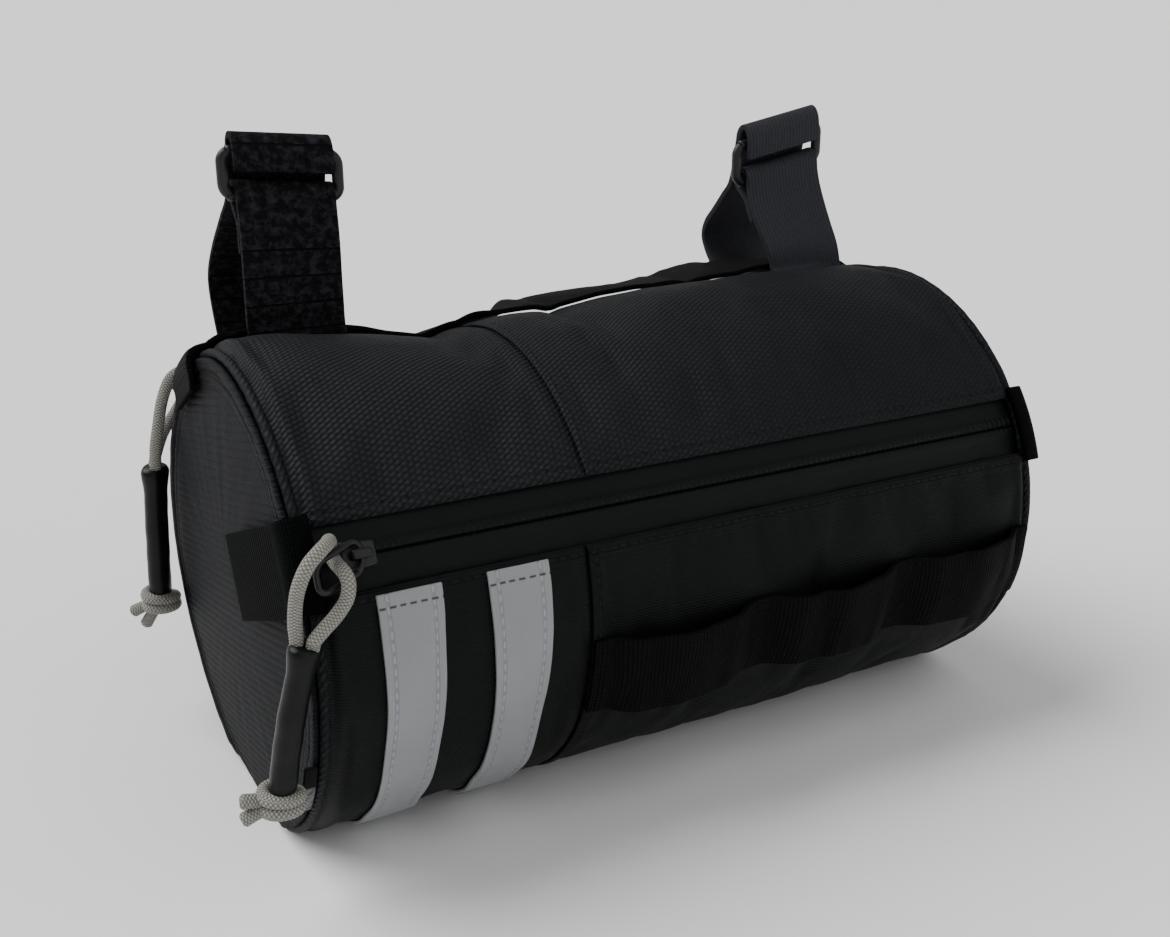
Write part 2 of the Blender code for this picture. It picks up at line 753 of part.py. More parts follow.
def add_slider(name, inset, angle, swing):
    """A zip slider near the left end with a crown, and a wire bail through the crown's eye."""
    frame = barrel_frame(inset - HALF, angle, -PANEL_THICKNESS)
    body = add_block(
        f"{name}_slider",
        (SLIDER_LENGTH, SLIDER_WIDTH, SLIDER_HEIGHT),
        (0, 0, SLIDER_HEIGHT / 2),
        black_metal(),
        bevel=SLIDER_BEVEL,
    )
    crown = add_block(
        f"{name}_crown",
        (CROWN_LENGTH, CROWN_WIDTH, CROWN_HEIGHT + SLIDER_HEIGHT / 2),
        (0, 0, SLIDER_HEIGHT + CROWN_HEIGHT / 2 - SLIDER_HEIGHT / 4),
        black_metal(),
        helpers,
        bevel=CROWN_BEVEL,
    )
    eye_z = SLIDER_HEIGHT + CROWN_HEIGHT / 2
    bm = bmesh.new()
    lie = Matrix.Translation((0, 0, eye_z)) @ Matrix.Rotation(math.pi / 2, 4, "X")
    bmesh.ops.create_cone(
        bm,
        cap_ends=True,
        segments=12,
        radius1=BAIL_WIRE / 2 + GAP,
        radius2=BAIL_WIRE / 2 + GAP,
        depth=CROWN_WIDTH * 3,
        matrix=lie,
    )
    eye = add_mesh(f"{name}_eye", bm, black_metal(), helpers)
    for piece in (body, crown, eye):
        piece.matrix_world = frame
    combine(body, crown, "UNION")
    combine(body, eye, "DIFFERENCE")
    add_bail(name, frame, eye_z, swing)


def add_bail(name, frame, eye_z, swing):
    """A closed wire loop, from the crown's eye to the left, a little outwards and swung down by its pull."""
    slope = math.tan(math.radians(swing))
    half = (BAIL_WIDTH - BAIL_WIRE) / 2
    long = BAIL_LENGTH - BAIL_WIRE
    bend = half * BAIL_ROUNDING
    route = []
    for at, side, start in ((0, 1, 0), (-long, 1, 90), (-long, -1, 180), (0, -1, 270)):
        for step in range(4):
            turned = math.radians(start + step * 30)
            x = at + (bend if at else -bend) + bend * math.cos(turned)
            y = side * (half - bend) + bend * math.sin(turned)
            z = eye_z + BAIL_RISE * smooth_step(-x / long)
            route.append(frame @ Vector((x, y + x * slope, z)))
    add_tube(f"{name}_bail", route, BAIL_WIRE, black_metal(), cyclic=True)


def beside_barrel(points):
    """A route's points, from shares of the barrel's radius to places beside the barrel's left end."""
    return [Vector(p) * BAG_RADIUS + Vector((-HALF, 0, REST_HEIGHT)) for p in points]


def add_sleeve(name, points):
    """A shrunk sleeve over both legs of a pull's cord: an oval tube, closed as one solid."""
    outline = bpy.data.curves.new(f"{name}_outline", "CURVE")
    outline.dimensions = "2D"
    spline = outline.splines.new("POLY")
    spline.points.add(9)
    for i, point in enumerate(spline.points):
        turned = -2 * math.pi * i / 10
        point.co = (SLEEVE_WIDTH / 2 * math.cos(turned), SLEEVE_DEPTH / 2 * math.sin(turned), 0, 1)
    spline.use_cyclic_u = True
    profile = add_object(f"{name}_outline", outline, dark_plastic(), helpers)
    profile.hide_render = True
    profile.display_type = "WIRE"
    sleeve = add_tube(name, spline_points(beside_barrel(points), 9), SLEEVE_WIDTH, dark_plastic())
    sleeve.data.bevel_mode = "OBJECT"
    sleeve.data.bevel_object = profile


def add_knot(name, centre, tails):
    """A pull's knot under its sleeve, with the cord's two short ends."""
    bm = bmesh.new()
    size = Matrix.Diagonal((*KNOT_SIZE, 1))
    bmesh.ops.create_uvsphere(bm, u_segments=12, v_segments=7, radius=0.5, matrix=size)
    knot = add_mesh(name, bm, grey_cord())
    knot.location = centre
    for i, lean in enumerate(tails):
        towards = Vector(lean).normalized()
        turn = Vector((0, 0, 1)).rotation_difference(towards).to_matrix().to_4x4()
        bm = bmesh.new()
        bmesh.ops.create_cone(
            bm,
            cap_ends=True,
            segments=8,
            radius1=CORD_DIAMETER / 2,
            radius2=CORD_DIAMETER / 2,
            depth=TAIL_LENGTH,
        )
        tail = add_mesh(f"{name}_tail_{i + 1}", bm, grey_cord(), helpers)
        middle = Vector(centre) + towards * (TAIL_LENGTH / 2 + TAIL_START)
        tail.matrix_world = Matrix.Translation(middle) @ turn
        combine(knot, tail, "UNION")


def add_pull(name, cord, sleeve, tails):
    """A zip pull: the cord through its bail, the sleeve over the cord, and the knot under it."""
    add_tube(f"{name}_cord", spline_points(beside_barrel(cord), 28), CORD_DIAMETER, grey_cord(), resolution=2)
    add_sleeve(f"{name}_sleeve", sleeve)
    ends = beside_barrel(sleeve)
    along = (ends[-1] - ends[-2]).normalized()
    add_knot(f"{name}_knot", ends[-1] + along * (KNOT_SIZE[2] / 2 + GAP), tails)


def add_label():
    """A small folded tab of tape that stands out of the left rim's seam."""
    reach = math.degrees(LABEL_HEIGHT / 2 / BAG_RADIUS)

    def place(u, v):
        angle = LABEL_ANGLE + (2 * v - 1) * reach
        return barrel_point(-HALF - GAP - u * LABEL_WIDTH, angle, -BINDING_DIAMETER / 2)

    cloth_sheet("label", place, (1, 4), LABEL_THICKNESS, 0, label_cloth())


def main():
    start_scene()
    add_panels()
    add_zip("front_zip", FRONT_ZIP_ANGLE)
    add_zip("rear_zip", REAR_ZIP_ANGLE)
    add_caps()
    add_strips()
    add_front_webbing()
    add_rear_webbing()
    add_tabs()
    add_straps()
    add_slider("front_zip", FRONT_SLIDER_INSET, FRONT_ZIP_ANGLE, FRONT_BAIL_SWING)
    add_slider("rear_zip", REAR_SLIDER_INSET, REAR_ZIP_ANGLE, REAR_BAIL_SWING)
    add_pull("front_pull", FRONT_CORD, FRONT_SLEEVE, FRONT_TAILS)
    add_pull("rear_pull", REAR_CORD, REAR_SLEEVE, REAR_TAILS)
    add_label()


main()
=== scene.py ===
import math

import bmesh
import bpy
from mathutils import Matrix, Vector, noise


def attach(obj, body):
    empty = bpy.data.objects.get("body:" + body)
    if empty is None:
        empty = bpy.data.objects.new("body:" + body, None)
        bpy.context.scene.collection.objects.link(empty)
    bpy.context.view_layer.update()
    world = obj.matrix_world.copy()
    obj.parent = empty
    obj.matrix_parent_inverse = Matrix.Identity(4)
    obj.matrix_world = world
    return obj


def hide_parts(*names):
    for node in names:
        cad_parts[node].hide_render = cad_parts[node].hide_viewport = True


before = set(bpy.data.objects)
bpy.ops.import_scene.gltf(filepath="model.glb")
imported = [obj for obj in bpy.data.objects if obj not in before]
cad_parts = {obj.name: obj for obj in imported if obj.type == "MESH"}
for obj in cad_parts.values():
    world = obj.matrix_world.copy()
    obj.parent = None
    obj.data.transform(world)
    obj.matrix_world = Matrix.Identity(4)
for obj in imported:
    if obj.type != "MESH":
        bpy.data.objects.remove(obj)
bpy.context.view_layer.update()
print("frame loaded")

# A bicycle handlebar bag, in metres. X runs along the barrel, -Y is the front, and the barrel rests
# on z = 0. Angles go round the barrel in degrees, from the front (0) over the top (90) to the back.

bag = {
    "radius": 0.058,
    "length": 0.2024,
    "restHeight": 0.054,
    "gap": 0.0003,
    "wall": 0.0012,
    "binding": 0.0024,
    "rearLean": 0.002,
    "capBulge": 0.0026,
    "topSeam": -0.033,
    "lowerSeam": -0.037,
    "frontZip": 27.2,
    "rearZip": 141.0,
    "zipWidth": 0.015,
    # along, angle, depth, reach along, reach round
    "dents": (
        (-0.430, 100, 0.053, 0.150, 34),
        (-0.880, 100, -0.041, 0.131, 25),
        (0.620, 98, -0.056, 0.786, 42),
        (-0.093, 100, 0.024, 0.110, 32),
        (-0.100, 58, 0.012, 0.300, 22),
        (0.300, 165, 0.020, 0.350, 30),
    ),
}
half = bag["length"] / 2
panelEnd = half - bag["binding"] - bag["gap"]
zipHalfAngle = math.degrees(bag["zipWidth"] / 2 / bag["radius"])
upperFirst = bag["frontZip"] + zipHalfAngle
upperLast = bag["rearZip"] - zipHalfAngle
lowerFirst = bag["rearZip"] + zipHalfAngle - 360
lowerLast = bag["frontZip"] - zipHalfAngle


# ---- camera

view = {
    "place": (-0.17427, -0.30021, 0.18871),
    "forward": (0.4613, 0.8252, -0.3261),
    "right": (0.8729, -0.4879, 0.0),
    "up": (0.1591, 0.2847, 0.9454),
    "lens": 41.55,
    "sensor": 36.0,
}
lens = bpy.data.cameras.new("camera")
lens.lens = view["lens"]
lens.sensor_width = view["sensor"]
lens.sensor_fit = "HORIZONTAL"
lens.clip_start = 0.01
lens.clip_end = 500.0
camera = bpy.data.objects.new("camera", lens)
bpy.context.scene.collection.objects.link(camera)
turned = Matrix((view["right"], view["up"], [-c for c in view["forward"]])).transposed().to_4x4()
camera.matrix_world = Matrix.Translation(view["place"]) @ turned
bpy.context.scene.camera = camera
print("camera placed")


# ---- shader maths

def paint(code):
    # "2a2c2e" as the shader's own linear colour
    parts = [int(code[i:i + 2], 16) / 255 for i in (0, 2, 4)]
    return tuple(c / 12.92 if c < 0.04045 else ((c + 0.055) / 1.055) ** 2.4 for c in parts) + (1.0,)


class Wire:
    def __init__(self, finish, socket):
        self.finish = finish
        self.socket = socket

    def maths(self, operation, *others):
        values = {0: self}
        for place, other in enumerate(others):
            values[place + 1] = other
        return self.finish.add("ShaderNodeMath", {"operation": operation}, values)

    def swapped(self, operation, other):
        return self.finish.add("ShaderNodeMath", {"operation": operation}, {0: other, 1: self})

    def __add__(self, other):
        return self.maths("ADD", other)

    __radd__ = __add__

    def __sub__(self, other):
        return self.maths("SUBTRACT", other)

    def __rsub__(self, other):
        return self.swapped("SUBTRACT", other)

    def __mul__(self, other):
        return self.maths("MULTIPLY", other)

    __rmul__ = __mul__

    def __truediv__(self, other):
        return self.maths("DIVIDE", other)

    def positive(self):
        return self.maths("MAXIMUM", 0.0)

    def clamped(self):
        return self.maths("MINIMUM", 1.0).positive()

    def wave(self, pitch, phase=0.0):
        # a sine from 0 to 1 with this pitch
        return (self * (2 * math.pi / pitch) + phase).maths("SINE") * 0.5 + 0.5

    def hump(self, pitch):
        # round humps from 0 to 1, one to each pitch
        return (self * (math.pi / pitch)).maths("SINE").maths("ABSOLUTE")

    def line(self, place, width):
        # 1 on a line at this place, fading to 0 at its edges
        away = (self - place).maths("ABSOLUTE") / (width / 2)
        return (1.0 - away * away).positive()

    def between(self, low, high, soft):
        # 1 between two places, with soft edges
        return ((self - low) / soft).clamped() * ((high - self) / soft).clamped()


class Finish:
    def __init__(self, name, roughness, metallic=0.0, gloss=0.12):
        self.material = bpy.data.materials.new(name)
        self.material.use_nodes = True
        self.tree = self.material.node_tree
        self.shader = self.tree.nodes["Principled BSDF"]
        self.shader.inputs["Roughness"].default_value = roughness
        self.shader.inputs["Metallic"].default_value = metallic
        self.shader.inputs["Specular IOR Level"].default_value = gloss

    def feed(self, socket, value):
        if isinstance(value, Wire):
            self.tree.links.new(value.socket, socket)
        else:
            socket.default_value = value

    def add(self, kind, settings=None, inputs=None, output=0):
        node = self.tree.nodes.new(kind)
        for key, value in (settings or {}).items():
            setattr(node, key, value)
        for key, value in (inputs or {}).items():
            self.feed(node.inputs[key], value)
        return Wire(self, node.outputs[output])

    def set(self, name, value):
        self.feed(self.shader.inputs[name], value)

    def flat(self):
        # the piece's own cloth coordinates in metres: along and across
        both = self.add("ShaderNodeUVMap", {"uv_map": "cloth"})
        split = self.add("ShaderNodeSeparateXYZ", None, {0: both})
        return both, split, Wire(self, split.socket.node.outputs[1])

    def place(self):
        return self.add("ShaderNodeTexCoord", None, None, 3)

    def blend(self, share, low, high):
        return self.add("ShaderNodeMix", {"data_type": "RGBA"}, {0: share, 6: low, 7: high}, 2)

    def speckle(self, vector, scale, detail=2.0, roughness=0.5):
        return self.add("ShaderNodeTexNoise", None, {
            "Vector": vector, "Scale": scale, "Detail": detail, "Roughness": roughness,
        })

    def relief(self, height, depth):
        return self.add("ShaderNodeBump", None, {"Height": height, "Distance": depth, "Strength": 1.0})


def stitchRow(along, across, place, pitch=0.0026, width=0.0007, share=0.72):
    # thread shows as short bars on a line, with a small pit at each end
    bars = (along / pitch).maths("FRACT").between(0.0, share, 0.12)
    return across.line(place, width) * bars


def hems(along, across, span, inset, seam, seamWidth):
    # rows of stitching along both hems and the seam, and the creases that they lie in, which the finishes
    # sink and darken with painted shade
    low = bag["radius"] * math.radians(span[0]) + inset
    high = bag["radius"] * math.radians(span[1]) - inset
    rows = stitchRow(along, across, low) + stitchRow(along, across, high) + stitchRow(across, along, seam)
    crease = across.line(low, 0.0012) + across.line(high, 0.0012) + along.line(seam, seamWidth)
    return rows, crease


# ---- finishes

finishes = {
    "coarse": ("050607", "222427"),
    # painted shade for the hem and seam creases
    "coarseCreaseShade": "030303",
    "coarseThread": "1c1e20",
    "coarsePitch": 0.00115,
    "coarseSlant": 32,
    "hemStitch": 0.0027,
    "cap": ("08090b", "18191d"),
    # painted shade for the groove and step inside the rim
    "capGrooveShade": "030304",
    "capDots": 0.0011,
    "capLean": 13,
    "coated": ("040505", "0f1112"),
    # painted shade for the hem and seam creases
    "coatedCreaseShade": "020202",
    "coatedThread": "191b1d",
    "coatedStitch": 0.002,
    "zip": ("040505", "0f1112"),
    "webbing": ("030303", "0e0f10"),
    "tab": ("020303", "0d0e0f"),
    "strapLeft": ("0b0b0d", "3a3b41"),
    "strapRight": ("1e1e21", "45464d"),
    "strapRows": 22,
    "strapRowPitch": 0.0066,
    "reflector": ("77787b", "909194"),
    "reflectorStitch": "8f9ca5",
    # painted shade where the stitching pulls the strip down
    "reflectorPullShade": "4c4d50",
    "reflectorTack": "060707",
    "cord": ("57554f", "a3a19a"),
    "sleeve": ("050607", "0e0f11"),
    "ring": ("0c0d0e", "1c1d20"),
    "metal": ("030404", "1b1c1e"),
    "label": ("060708", "6d6f70"),
}


def shades(name):
    dark, light = finishes[name]
    return paint(dark), paint(light)


def weave(along, across, pitch, slant):
    # short humps in slanting rows, each row shifted against the last
    turn = math.radians(slant)
    a = along * math.cos(turn) + across * math.sin(turn)
    b = across * math.cos(turn) - along * math.sin(turn)
    row = (b / pitch).maths("FLOOR")
    return b.hump(pitch) * ((a + row * (pitch * 0.8)).hump(pitch * 1.6) * 0.75 + 0.25)


def coarseFinish():
    made = Finish("coarse_cloth", 0.6, gloss=0.11)
    both, along, across = made.flat()
    wander = (made.speckle(both, 60.0) - 0.5) * 0.0004
    cells = weave(along + wander, across + wander, finishes["coarsePitch"], finishes["coarseSlant"])
    # the weave's bright dashes are partly the threads' own tone and partly painted glints; the weave
    # shows best left of the seam and round the rims, and flattens to the right
    clear = 1.0 - ((along + 0.03) / 0.07).clamped() * 0.55
    uneven = made.speckle(both, 900.0)
    patches = made.speckle(both, 45.0, 3.0)
    shown = cells * clear
    shade = (shown * 0.75 + uneven * 0.25 + patches * 0.25 - 0.12).positive()
    span = (upperFirst, upperLast)
    rows, crease = hems(along, across, span, finishes["hemStitch"], bag["topSeam"] + 0.002, 0.001)
    colour = made.blend(shade, *shades("coarse"))
    # the hem and seam creases are darkened here: painted shade
    colour = made.blend(crease * 0.5, colour, paint(finishes["coarseCreaseShade"]))
    colour = made.blend(rows * 0.6, colour, paint(finishes["coarseThread"]))
    made.set("Base Color", colour)
    made.set("Roughness", 0.5 + 0.25 * uneven)
    made.set("Normal", made.relief(shown * 0.8 + uneven * 0.3 + rows * 0.5 - crease * 0.6, 0.00045))
    return made


def capFinish():
    made = Finish("cap_cloth", 0.65, gloss=0.07)
    both, along, across = made.flat()
    # the cloth's ribs rise a little towards the front
    lean = math.radians(finishes["capLean"])
    level = across * math.cos(lean) + along * math.sin(lean)
    beside = along * math.cos(lean) - across * math.sin(lean)
    ribs = level.hump(0.0019)
    fine = level.hump(0.00062)
    pitch = finishes["capDots"]
    row = (level / pitch).maths("FLOOR")
    dots = level.hump(pitch) * (beside + row * (pitch / 2)).hump(pitch)
    # dots of woven thread show beside the rim, mostly towards the front
    high = across - bag["restHeight"]
    away = (along * along + high * high).maths("SQRT")
    near = away.between(bag["radius"] - 0.013, bag["radius"] + 0.004, 0.006)
    front = ((0.0 - along) / 0.04).clamped()
    dots = dots * near * front
    uneven = made.speckle(both, 800.0)
    wide = made.speckle(both, 50.0, 3.0)
    shade = ribs * 0.3 + fine * 0.15 + uneven * 0.2 + wide * 0.35 + dots * 0.9 - 0.15
    colour = made.blend(shade.positive(), *shades("cap"))
    # dark lines in the groove and at the foot of the inner strip, inside the rim: painted shade
    line = away.line(bag["radius"] - 0.0047, 0.0009) + away.line(bag["radius"] - 0.0072, 0.0007) * 0.6
    made.set("Base Color", made.blend(line * 0.85, colour, paint(finishes["capGrooveShade"])))
    made.set("Roughness", 0.55 + 0.2 * uneven)
    made.set("Normal", made.relief(ribs * 0.7 + fine * 0.2 + uneven * 0.25 + dots * 0.8 - line, 0.00028))
    return made


def coatedFinish():
    made = Finish("coated_cloth", 0.5, gloss=0.09)
    both, along, across = made.flat()
    ribs = across.hump(0.0007)
    fine = made.speckle(both, 1200.0)
    wide = made.speckle(both, 30.0, 3.0)
    shade = (ribs * 0.25 + fine * 0.3 + wide * 0.5 - 0.1).positive()
    span = (lowerFirst, lowerLast)
    rows, crease = hems(along, across, span, finishes["coatedStitch"], bag["lowerSeam"] + 0.0018, 0.0012)
    colour = made.blend(shade, *shades("coated"))
    # the hem and seam creases are darkened here: painted shade
    colour = made.blend(crease * 0.6, colour, paint(finishes["coatedCreaseShade"]))
    colour = made.blend(rows * 0.5, colour, paint(finishes["coatedThread"]))
    made.set("Base Color", colour)
    made.set("Roughness", 0.42 + 0.2 * fine)
    made.set("Normal", made.relief(ribs * 0.4 + fine * 0.4 + rows * 0.8 - crease * 1.2, 0.00022))
    return made


def zipFinish():
    made = Finish("zip_tape", 0.4, gloss=0.09)
    both, along, across = made.flat()
    teeth = along.wave(0.0017)
    near = across.line(0.0008, 0.0042)
    fine = made.speckle(both, 1500.0)
    wide = made.speckle(both, 50.0, 3.0)
    colour = made.blend(wide * 0.6 + fine * 0.3 + teeth * near * 0.25, *shades("zip"))
    made.set("Base Color", colour)
    made.set("Roughness", 0.36 + 0.2 * fine)
    made.set("Normal", made.relief(teeth * near + fine * 0.25, 0.0002))
    return made


def webbingFinish(name, tacks=(), look="webbing"):
    made = Finish(name, 0.7, gloss=0.02 if look == "tab" else 0.05)
    both, along, across = made.flat()
    ribs = along.hump(0.0009)
    threads = across.hump(0.0011)
    uneven = made.speckle(both, 1100.0)
    shade = (ribs * 0.7 + threads * 0.15 + uneven * 0.4 - 0.25).positive()
    height = ribs * 0.6 + threads * 0.3 + uneven * 0.2
    for place in tacks:
        for row in range(4):
            stitches = stitchRow(across, along, place + (row - 1.5) * 0.0011, 0.0018, 0.0008)
            height = height + stitches * 0.9
            shade = shade + stitches * 0.35
    made.set("Base Color", made.blend(shade, *shades(look)))
    made.set("Normal", made.relief(height, 0.0003))
    return made


def strapFinish(name, looped):
    # one side of each strap is plain and finely ribbed, the other is a pile of small loops
    made = Finish(name, 0.8, gloss=0.06)
    both, along, across = made.flat()
    loops = made.speckle(both, 1100.0, 3.0, 0.75)
    tufts = (made.speckle(both, 420.0, 2.0, 0.6) - 0.5) * 4.0
    rows = across.line(0.0, 0.0006)
    for row in range(1, finishes["strapRows"]):
        rows = rows + across.line(row * finishes["strapRowPitch"], 0.0006)
    ribs = along.hump(0.0011)
    if looped:
        # the speckle of loops and tufts is partly the pile's own uneven tone and partly painted glints
        shade = (loops * 0.5 + tufts * 0.35 - rows * 0.4 - 0.15).positive()
        height = loops * 0.6 + tufts * 0.5 - rows * 0.8
    else:
        shade = (loops * 0.5 + ribs * 0.25 - 0.1).positive()
        height = loops * 0.3 + ribs * 0.3
    look = shades("strapLeft" if looped else "strapRight")
    made.set("Base Color", made.blend(shade.maths("MINIMUM", 1.3), *look))
    made.set("Normal", made.relief(height, 0.0006 if looped else 0.00025))
    return made


def reflectFinish():
    made = Finish("reflector", 0.45, gloss=0.4)
    both, along, across = made.flat()
    beads = made.speckle(both, 2200.0)
    wide = made.speckle(both, 60.0, 2.0)
    edge = 0.0022
    rows = stitchRow(along, across, edge) + stitchRow(along, across, strips["width"] - edge)
    pulled = across.line(edge, 0.0012) + across.line(strips["width"] - edge, 0.0012)
    top = stitchRow(across, along, strips["stitchDrop"], 0.0024, 0.0007)
    colour = made.blend(wide * 0.5 + beads * 0.35, *shades("reflector"))
    # the strip is darkened along its stitching, where it is pulled down: painted shade
    colour = made.blend(pulled * 0.25, colour, paint(finishes["reflectorPullShade"]))
    colour = made.blend(rows * 0.8, colour, paint(finishes["reflectorStitch"]))
    colour = made.blend(top * 0.95, colour, paint(finishes["reflectorTack"]))
    made.set("Base Color", colour)
    made.set("Normal", made.relief(beads * 0.25 + rows * 0.6 - pulled * 0.7 - top * 0.5, 0.00025))
    return made


def plasticFinish(name, rough, gloss):
    made = Finish(f"{name}_plastic", rough, gloss=gloss)
    place = made.place()
    grain = made.speckle(place, 1500.0)
    wear = made.speckle(place, 180.0, 3.0)
    made.set("Base Color", made.blend(wear * 0.7 + grain * 0.2, *shades(name)))
    made.set("Roughness", rough - 0.08 + 0.16 * grain)
    made.set("Normal", made.relief(grain, 0.00006))
    return made


def metalFinish():
    made = Finish("black_metal", 0.35, metallic=0.2, gloss=0.35)
    place = made.place()
    wear = made.speckle(place, 500.0, 4.0, 0.6)
    made.set("Base Color", made.blend(wear, *shades("metal")))
    made.set("Roughness", 0.26 + 0.3 * wear)
    made.set("Normal", made.relief(wear, 0.00005))
    return made


def cordFinish():
    made = Finish("grey_cord", 0.75, gloss=0.15)
    both, along, across = made.flat()
    # strands that cross at a slant, as round humps
    left = (along + across * 0.55).hump(0.00074)
    right = (along - across * 0.55).hump(0.00074)
    braid = left.maths("MAXIMUM", right)
    fuzz = made.speckle(both, 2500.0)
    shade = (left * right * 1.1 + fuzz * 0.3).maths("MINIMUM", 1.0)
    made.set("Base Color", made.blend(shade, *shades("cord")))
    made.set("Normal", made.relief(braid * 0.3 + left * right * 0.9 + fuzz * 0.3, 0.0003))
    return made


def labelFinish():
    made = Finish("label_cloth", 0.75)
    both, along, across = made.flat()
    threads = along.hump(0.0005) * 0.4 + across.hump(0.0006) * 0.4
    low = across.between(0.0, label["height"] * 0.62, 0.0006)
    blocks = (made.speckle(both, 700.0, 1.0) - 0.45) * 5.0
    shade = low * (0.75 - blocks.positive().maths("MINIMUM", 0.5) + threads * 0.25)
    made.set("Base Color", made.blend(shade, *shades("label")))
    made.set("Normal", made.relief(threads, 0.0001))
    return made


# ---- shapes on the barrel

def blend(low, high, share):
    return low + (high - low) * share


def ease(share):
    share = min(max(share, 0.0), 1.0)
    return share * share * (3 - 2 * share)


def bell(away, middle, width):
    return math.exp(-(((away - middle) / width) ** 2))


def crowd(share, amount=0.7):
    # packs the rows of a sheet towards both of its edges
    return share - amount / (2 * math.pi) * math.sin(2 * math.pi * share)


settling = {
    "columns": 84,
    "rows": 120,
    "frames": 20,
    "most": 0.0013,
    # how far round each rim, zip (in degrees), seam and resting place it is held
    "heldRim": 0.0045,
    "heldZip": 1.6,
    "heldSeam": 0.0018,
    "heldFoot": 0.0006,
    "cloth": {
        "quality": 6,
        "mass": 0.25,
        "tension_stiffness": 12,
        "compression_stiffness": 12,
        "shear_stiffness": 6,
        "bending_stiffness": 0.6,
        "vertex_group_mass": "held",
        "use_pressure": True,
        "uniform_pressure_force": 4.0,
        "shrink_min": -0.012,
    },
}
settledGrid = []


def settled(x, angle):
    # how far the simulated cloth stands off the plain barrel here
    if not settledGrid:
        return 0.0
    u = min(max((x / half + 1) / 2, 0.0), 1.0) * settling["columns"]
    v = (angle % 360) / 360 * settling["rows"]
    column, row = min(int(u), settling["columns"] - 1), int(v)

    def across(at):
        line = settledGrid[at % settling["rows"]]
        places = [min(max(column + k, 0), settling["columns"]) for k in (-1, 0, 1, 2)]
        return cubic([line[p] for p in places], u - column)

    return cubic([across(row + k) for k in (-1, 0, 1, 2)], v - row)


def cubic(values, t):
    a, b, c, d = values
    return b + 0.5 * t * (c - a + t * (2 * a - 5 * b + 4 * c - d + t * (3 * (b - c) + d - a)))


def isSewn(x, angle):
    angle = angle % 360
    if half - abs(x) < settling["heldRim"]:
        return True
    for zipAngle in (bag["frontZip"], bag["rearZip"]):
        if abs(angle - zipAngle) < zipHalfAngle + settling["heldZip"]:
            return True
    seam = bag["topSeam"] if bag["frontZip"] < angle < bag["rearZip"] else bag["lowerSeam"]
    return abs(x - seam) < settling["heldSeam"]


def settleBarrel():
    # one closed cloth, held along its seams, hems and rims, is blown up a little between them
    columns, rows = settling["columns"], settling["rows"]

    def place(u, v):
        return barrelPoint((2 * u - 1) * half, 360 * v)

    cloth = shapedGrid("settling_cloth", (columns, rows), place, lambda u, v: (u, v), closed=True)
    spots = {}
    held = cloth.vertex_groups.new(name="held")
    for vert in cloth.data.vertices:
        high = vert.co.z - bag["restHeight"]
        angle = math.degrees(math.atan2(high, -vert.co.y)) % 360
        column = round((vert.co.x / half + 1) / 2 * columns)
        spots[vert.index] = (column, round(angle / 360 * rows) % rows)
        if isSewn(vert.co.x, angle) or vert.co.z < settling["heldFoot"]:
            held.add([vert.index], 1.0, "REPLACE")
    before = [vert.co.copy() for vert in cloth.data.vertices]
    soft = cloth.modifiers.new("soft", "CLOTH")
    for key, value in settling["cloth"].items():
        setattr(soft.settings, key, value)
    soft.settings.effector_weights.gravity = 0
    soft.collision_settings.use_collision = False
    soft.point_cache.frame_end = settling["frames"]
    for step in range(1, settling["frames"] + 1):
        bpy.context.scene.frame_set(step)
    shaped = cloth.evaluated_get(bpy.context.evaluated_depsgraph_get()).data
    grid = [[0.0] * (columns + 1) for row in range(rows)]
    for index, vert in enumerate(shaped.vertices):
        column, row = spots[index]
        start = Vector((0, before[index].y, before[index].z - bag["restHeight"]))
        moved = (vert.co - before[index]).dot(start.normalized())
        grid[row][column] = min(max(moved, -settling["most"]), settling["most"])
    bpy.context.scene.frame_set(1)
    bpy.data.objects.remove(cloth)
    # one pass takes the mesh's own steps out of the result
    for row in range(rows):
        line = []
        for column in range(columns + 1):
            near = [grid[row][max(column - 1, 0)], grid[row][min(column + 1, columns)]]
            near += [grid[row - 1][column], grid[(row + 1) % rows][column]]
            line.append(grid[row][column] * 0.5 + sum(near) * 0.125)
        settledGrid.append(line)
    flat = [value for line in settledGrid for value in line]
    print(f"cloth settled, {min(flat) * 1000:.2f} to {max(flat) * 1000:.2f} mm off the plain barrel")


def barrelRadius(x, angle):
    along = x / half
    depth = 0.0
    for place, middle, deep, reachAlong, reachRound in bag["dents"]:
        turn = (angle - middle + 180) % 360 - 180
        depth += deep * math.exp(-(((along - place) / reachAlong) ** 2) - (turn / reachRound) ** 2)
    return bag["radius"] * (1 - depth) + settled(x, angle)


def outwards(angle):
    return Vector((0, -math.cos(math.radians(angle)), math.sin(math.radians(angle))))


def roundIt(angle):
    return Vector((0, math.sin(math.radians(angle)), math.cos(math.radians(angle))))


def barrelPoint(x, angle, lift=0.0):
    point = outwards(angle) * (barrelRadius(x, angle) + lift)
    return Vector((x, point.y, bag["restHeight"] + max(point.z, -bag["restHeight"] - min(lift, 0.0))))


def rimShift(side, angle):
    if side > 0:
        return 0.0
    return bag["rearLean"] * max(0.0, -math.cos(math.radians(angle))) ** 2


def panelX(side, angle):
    return side * (panelEnd + rimShift(side, angle))


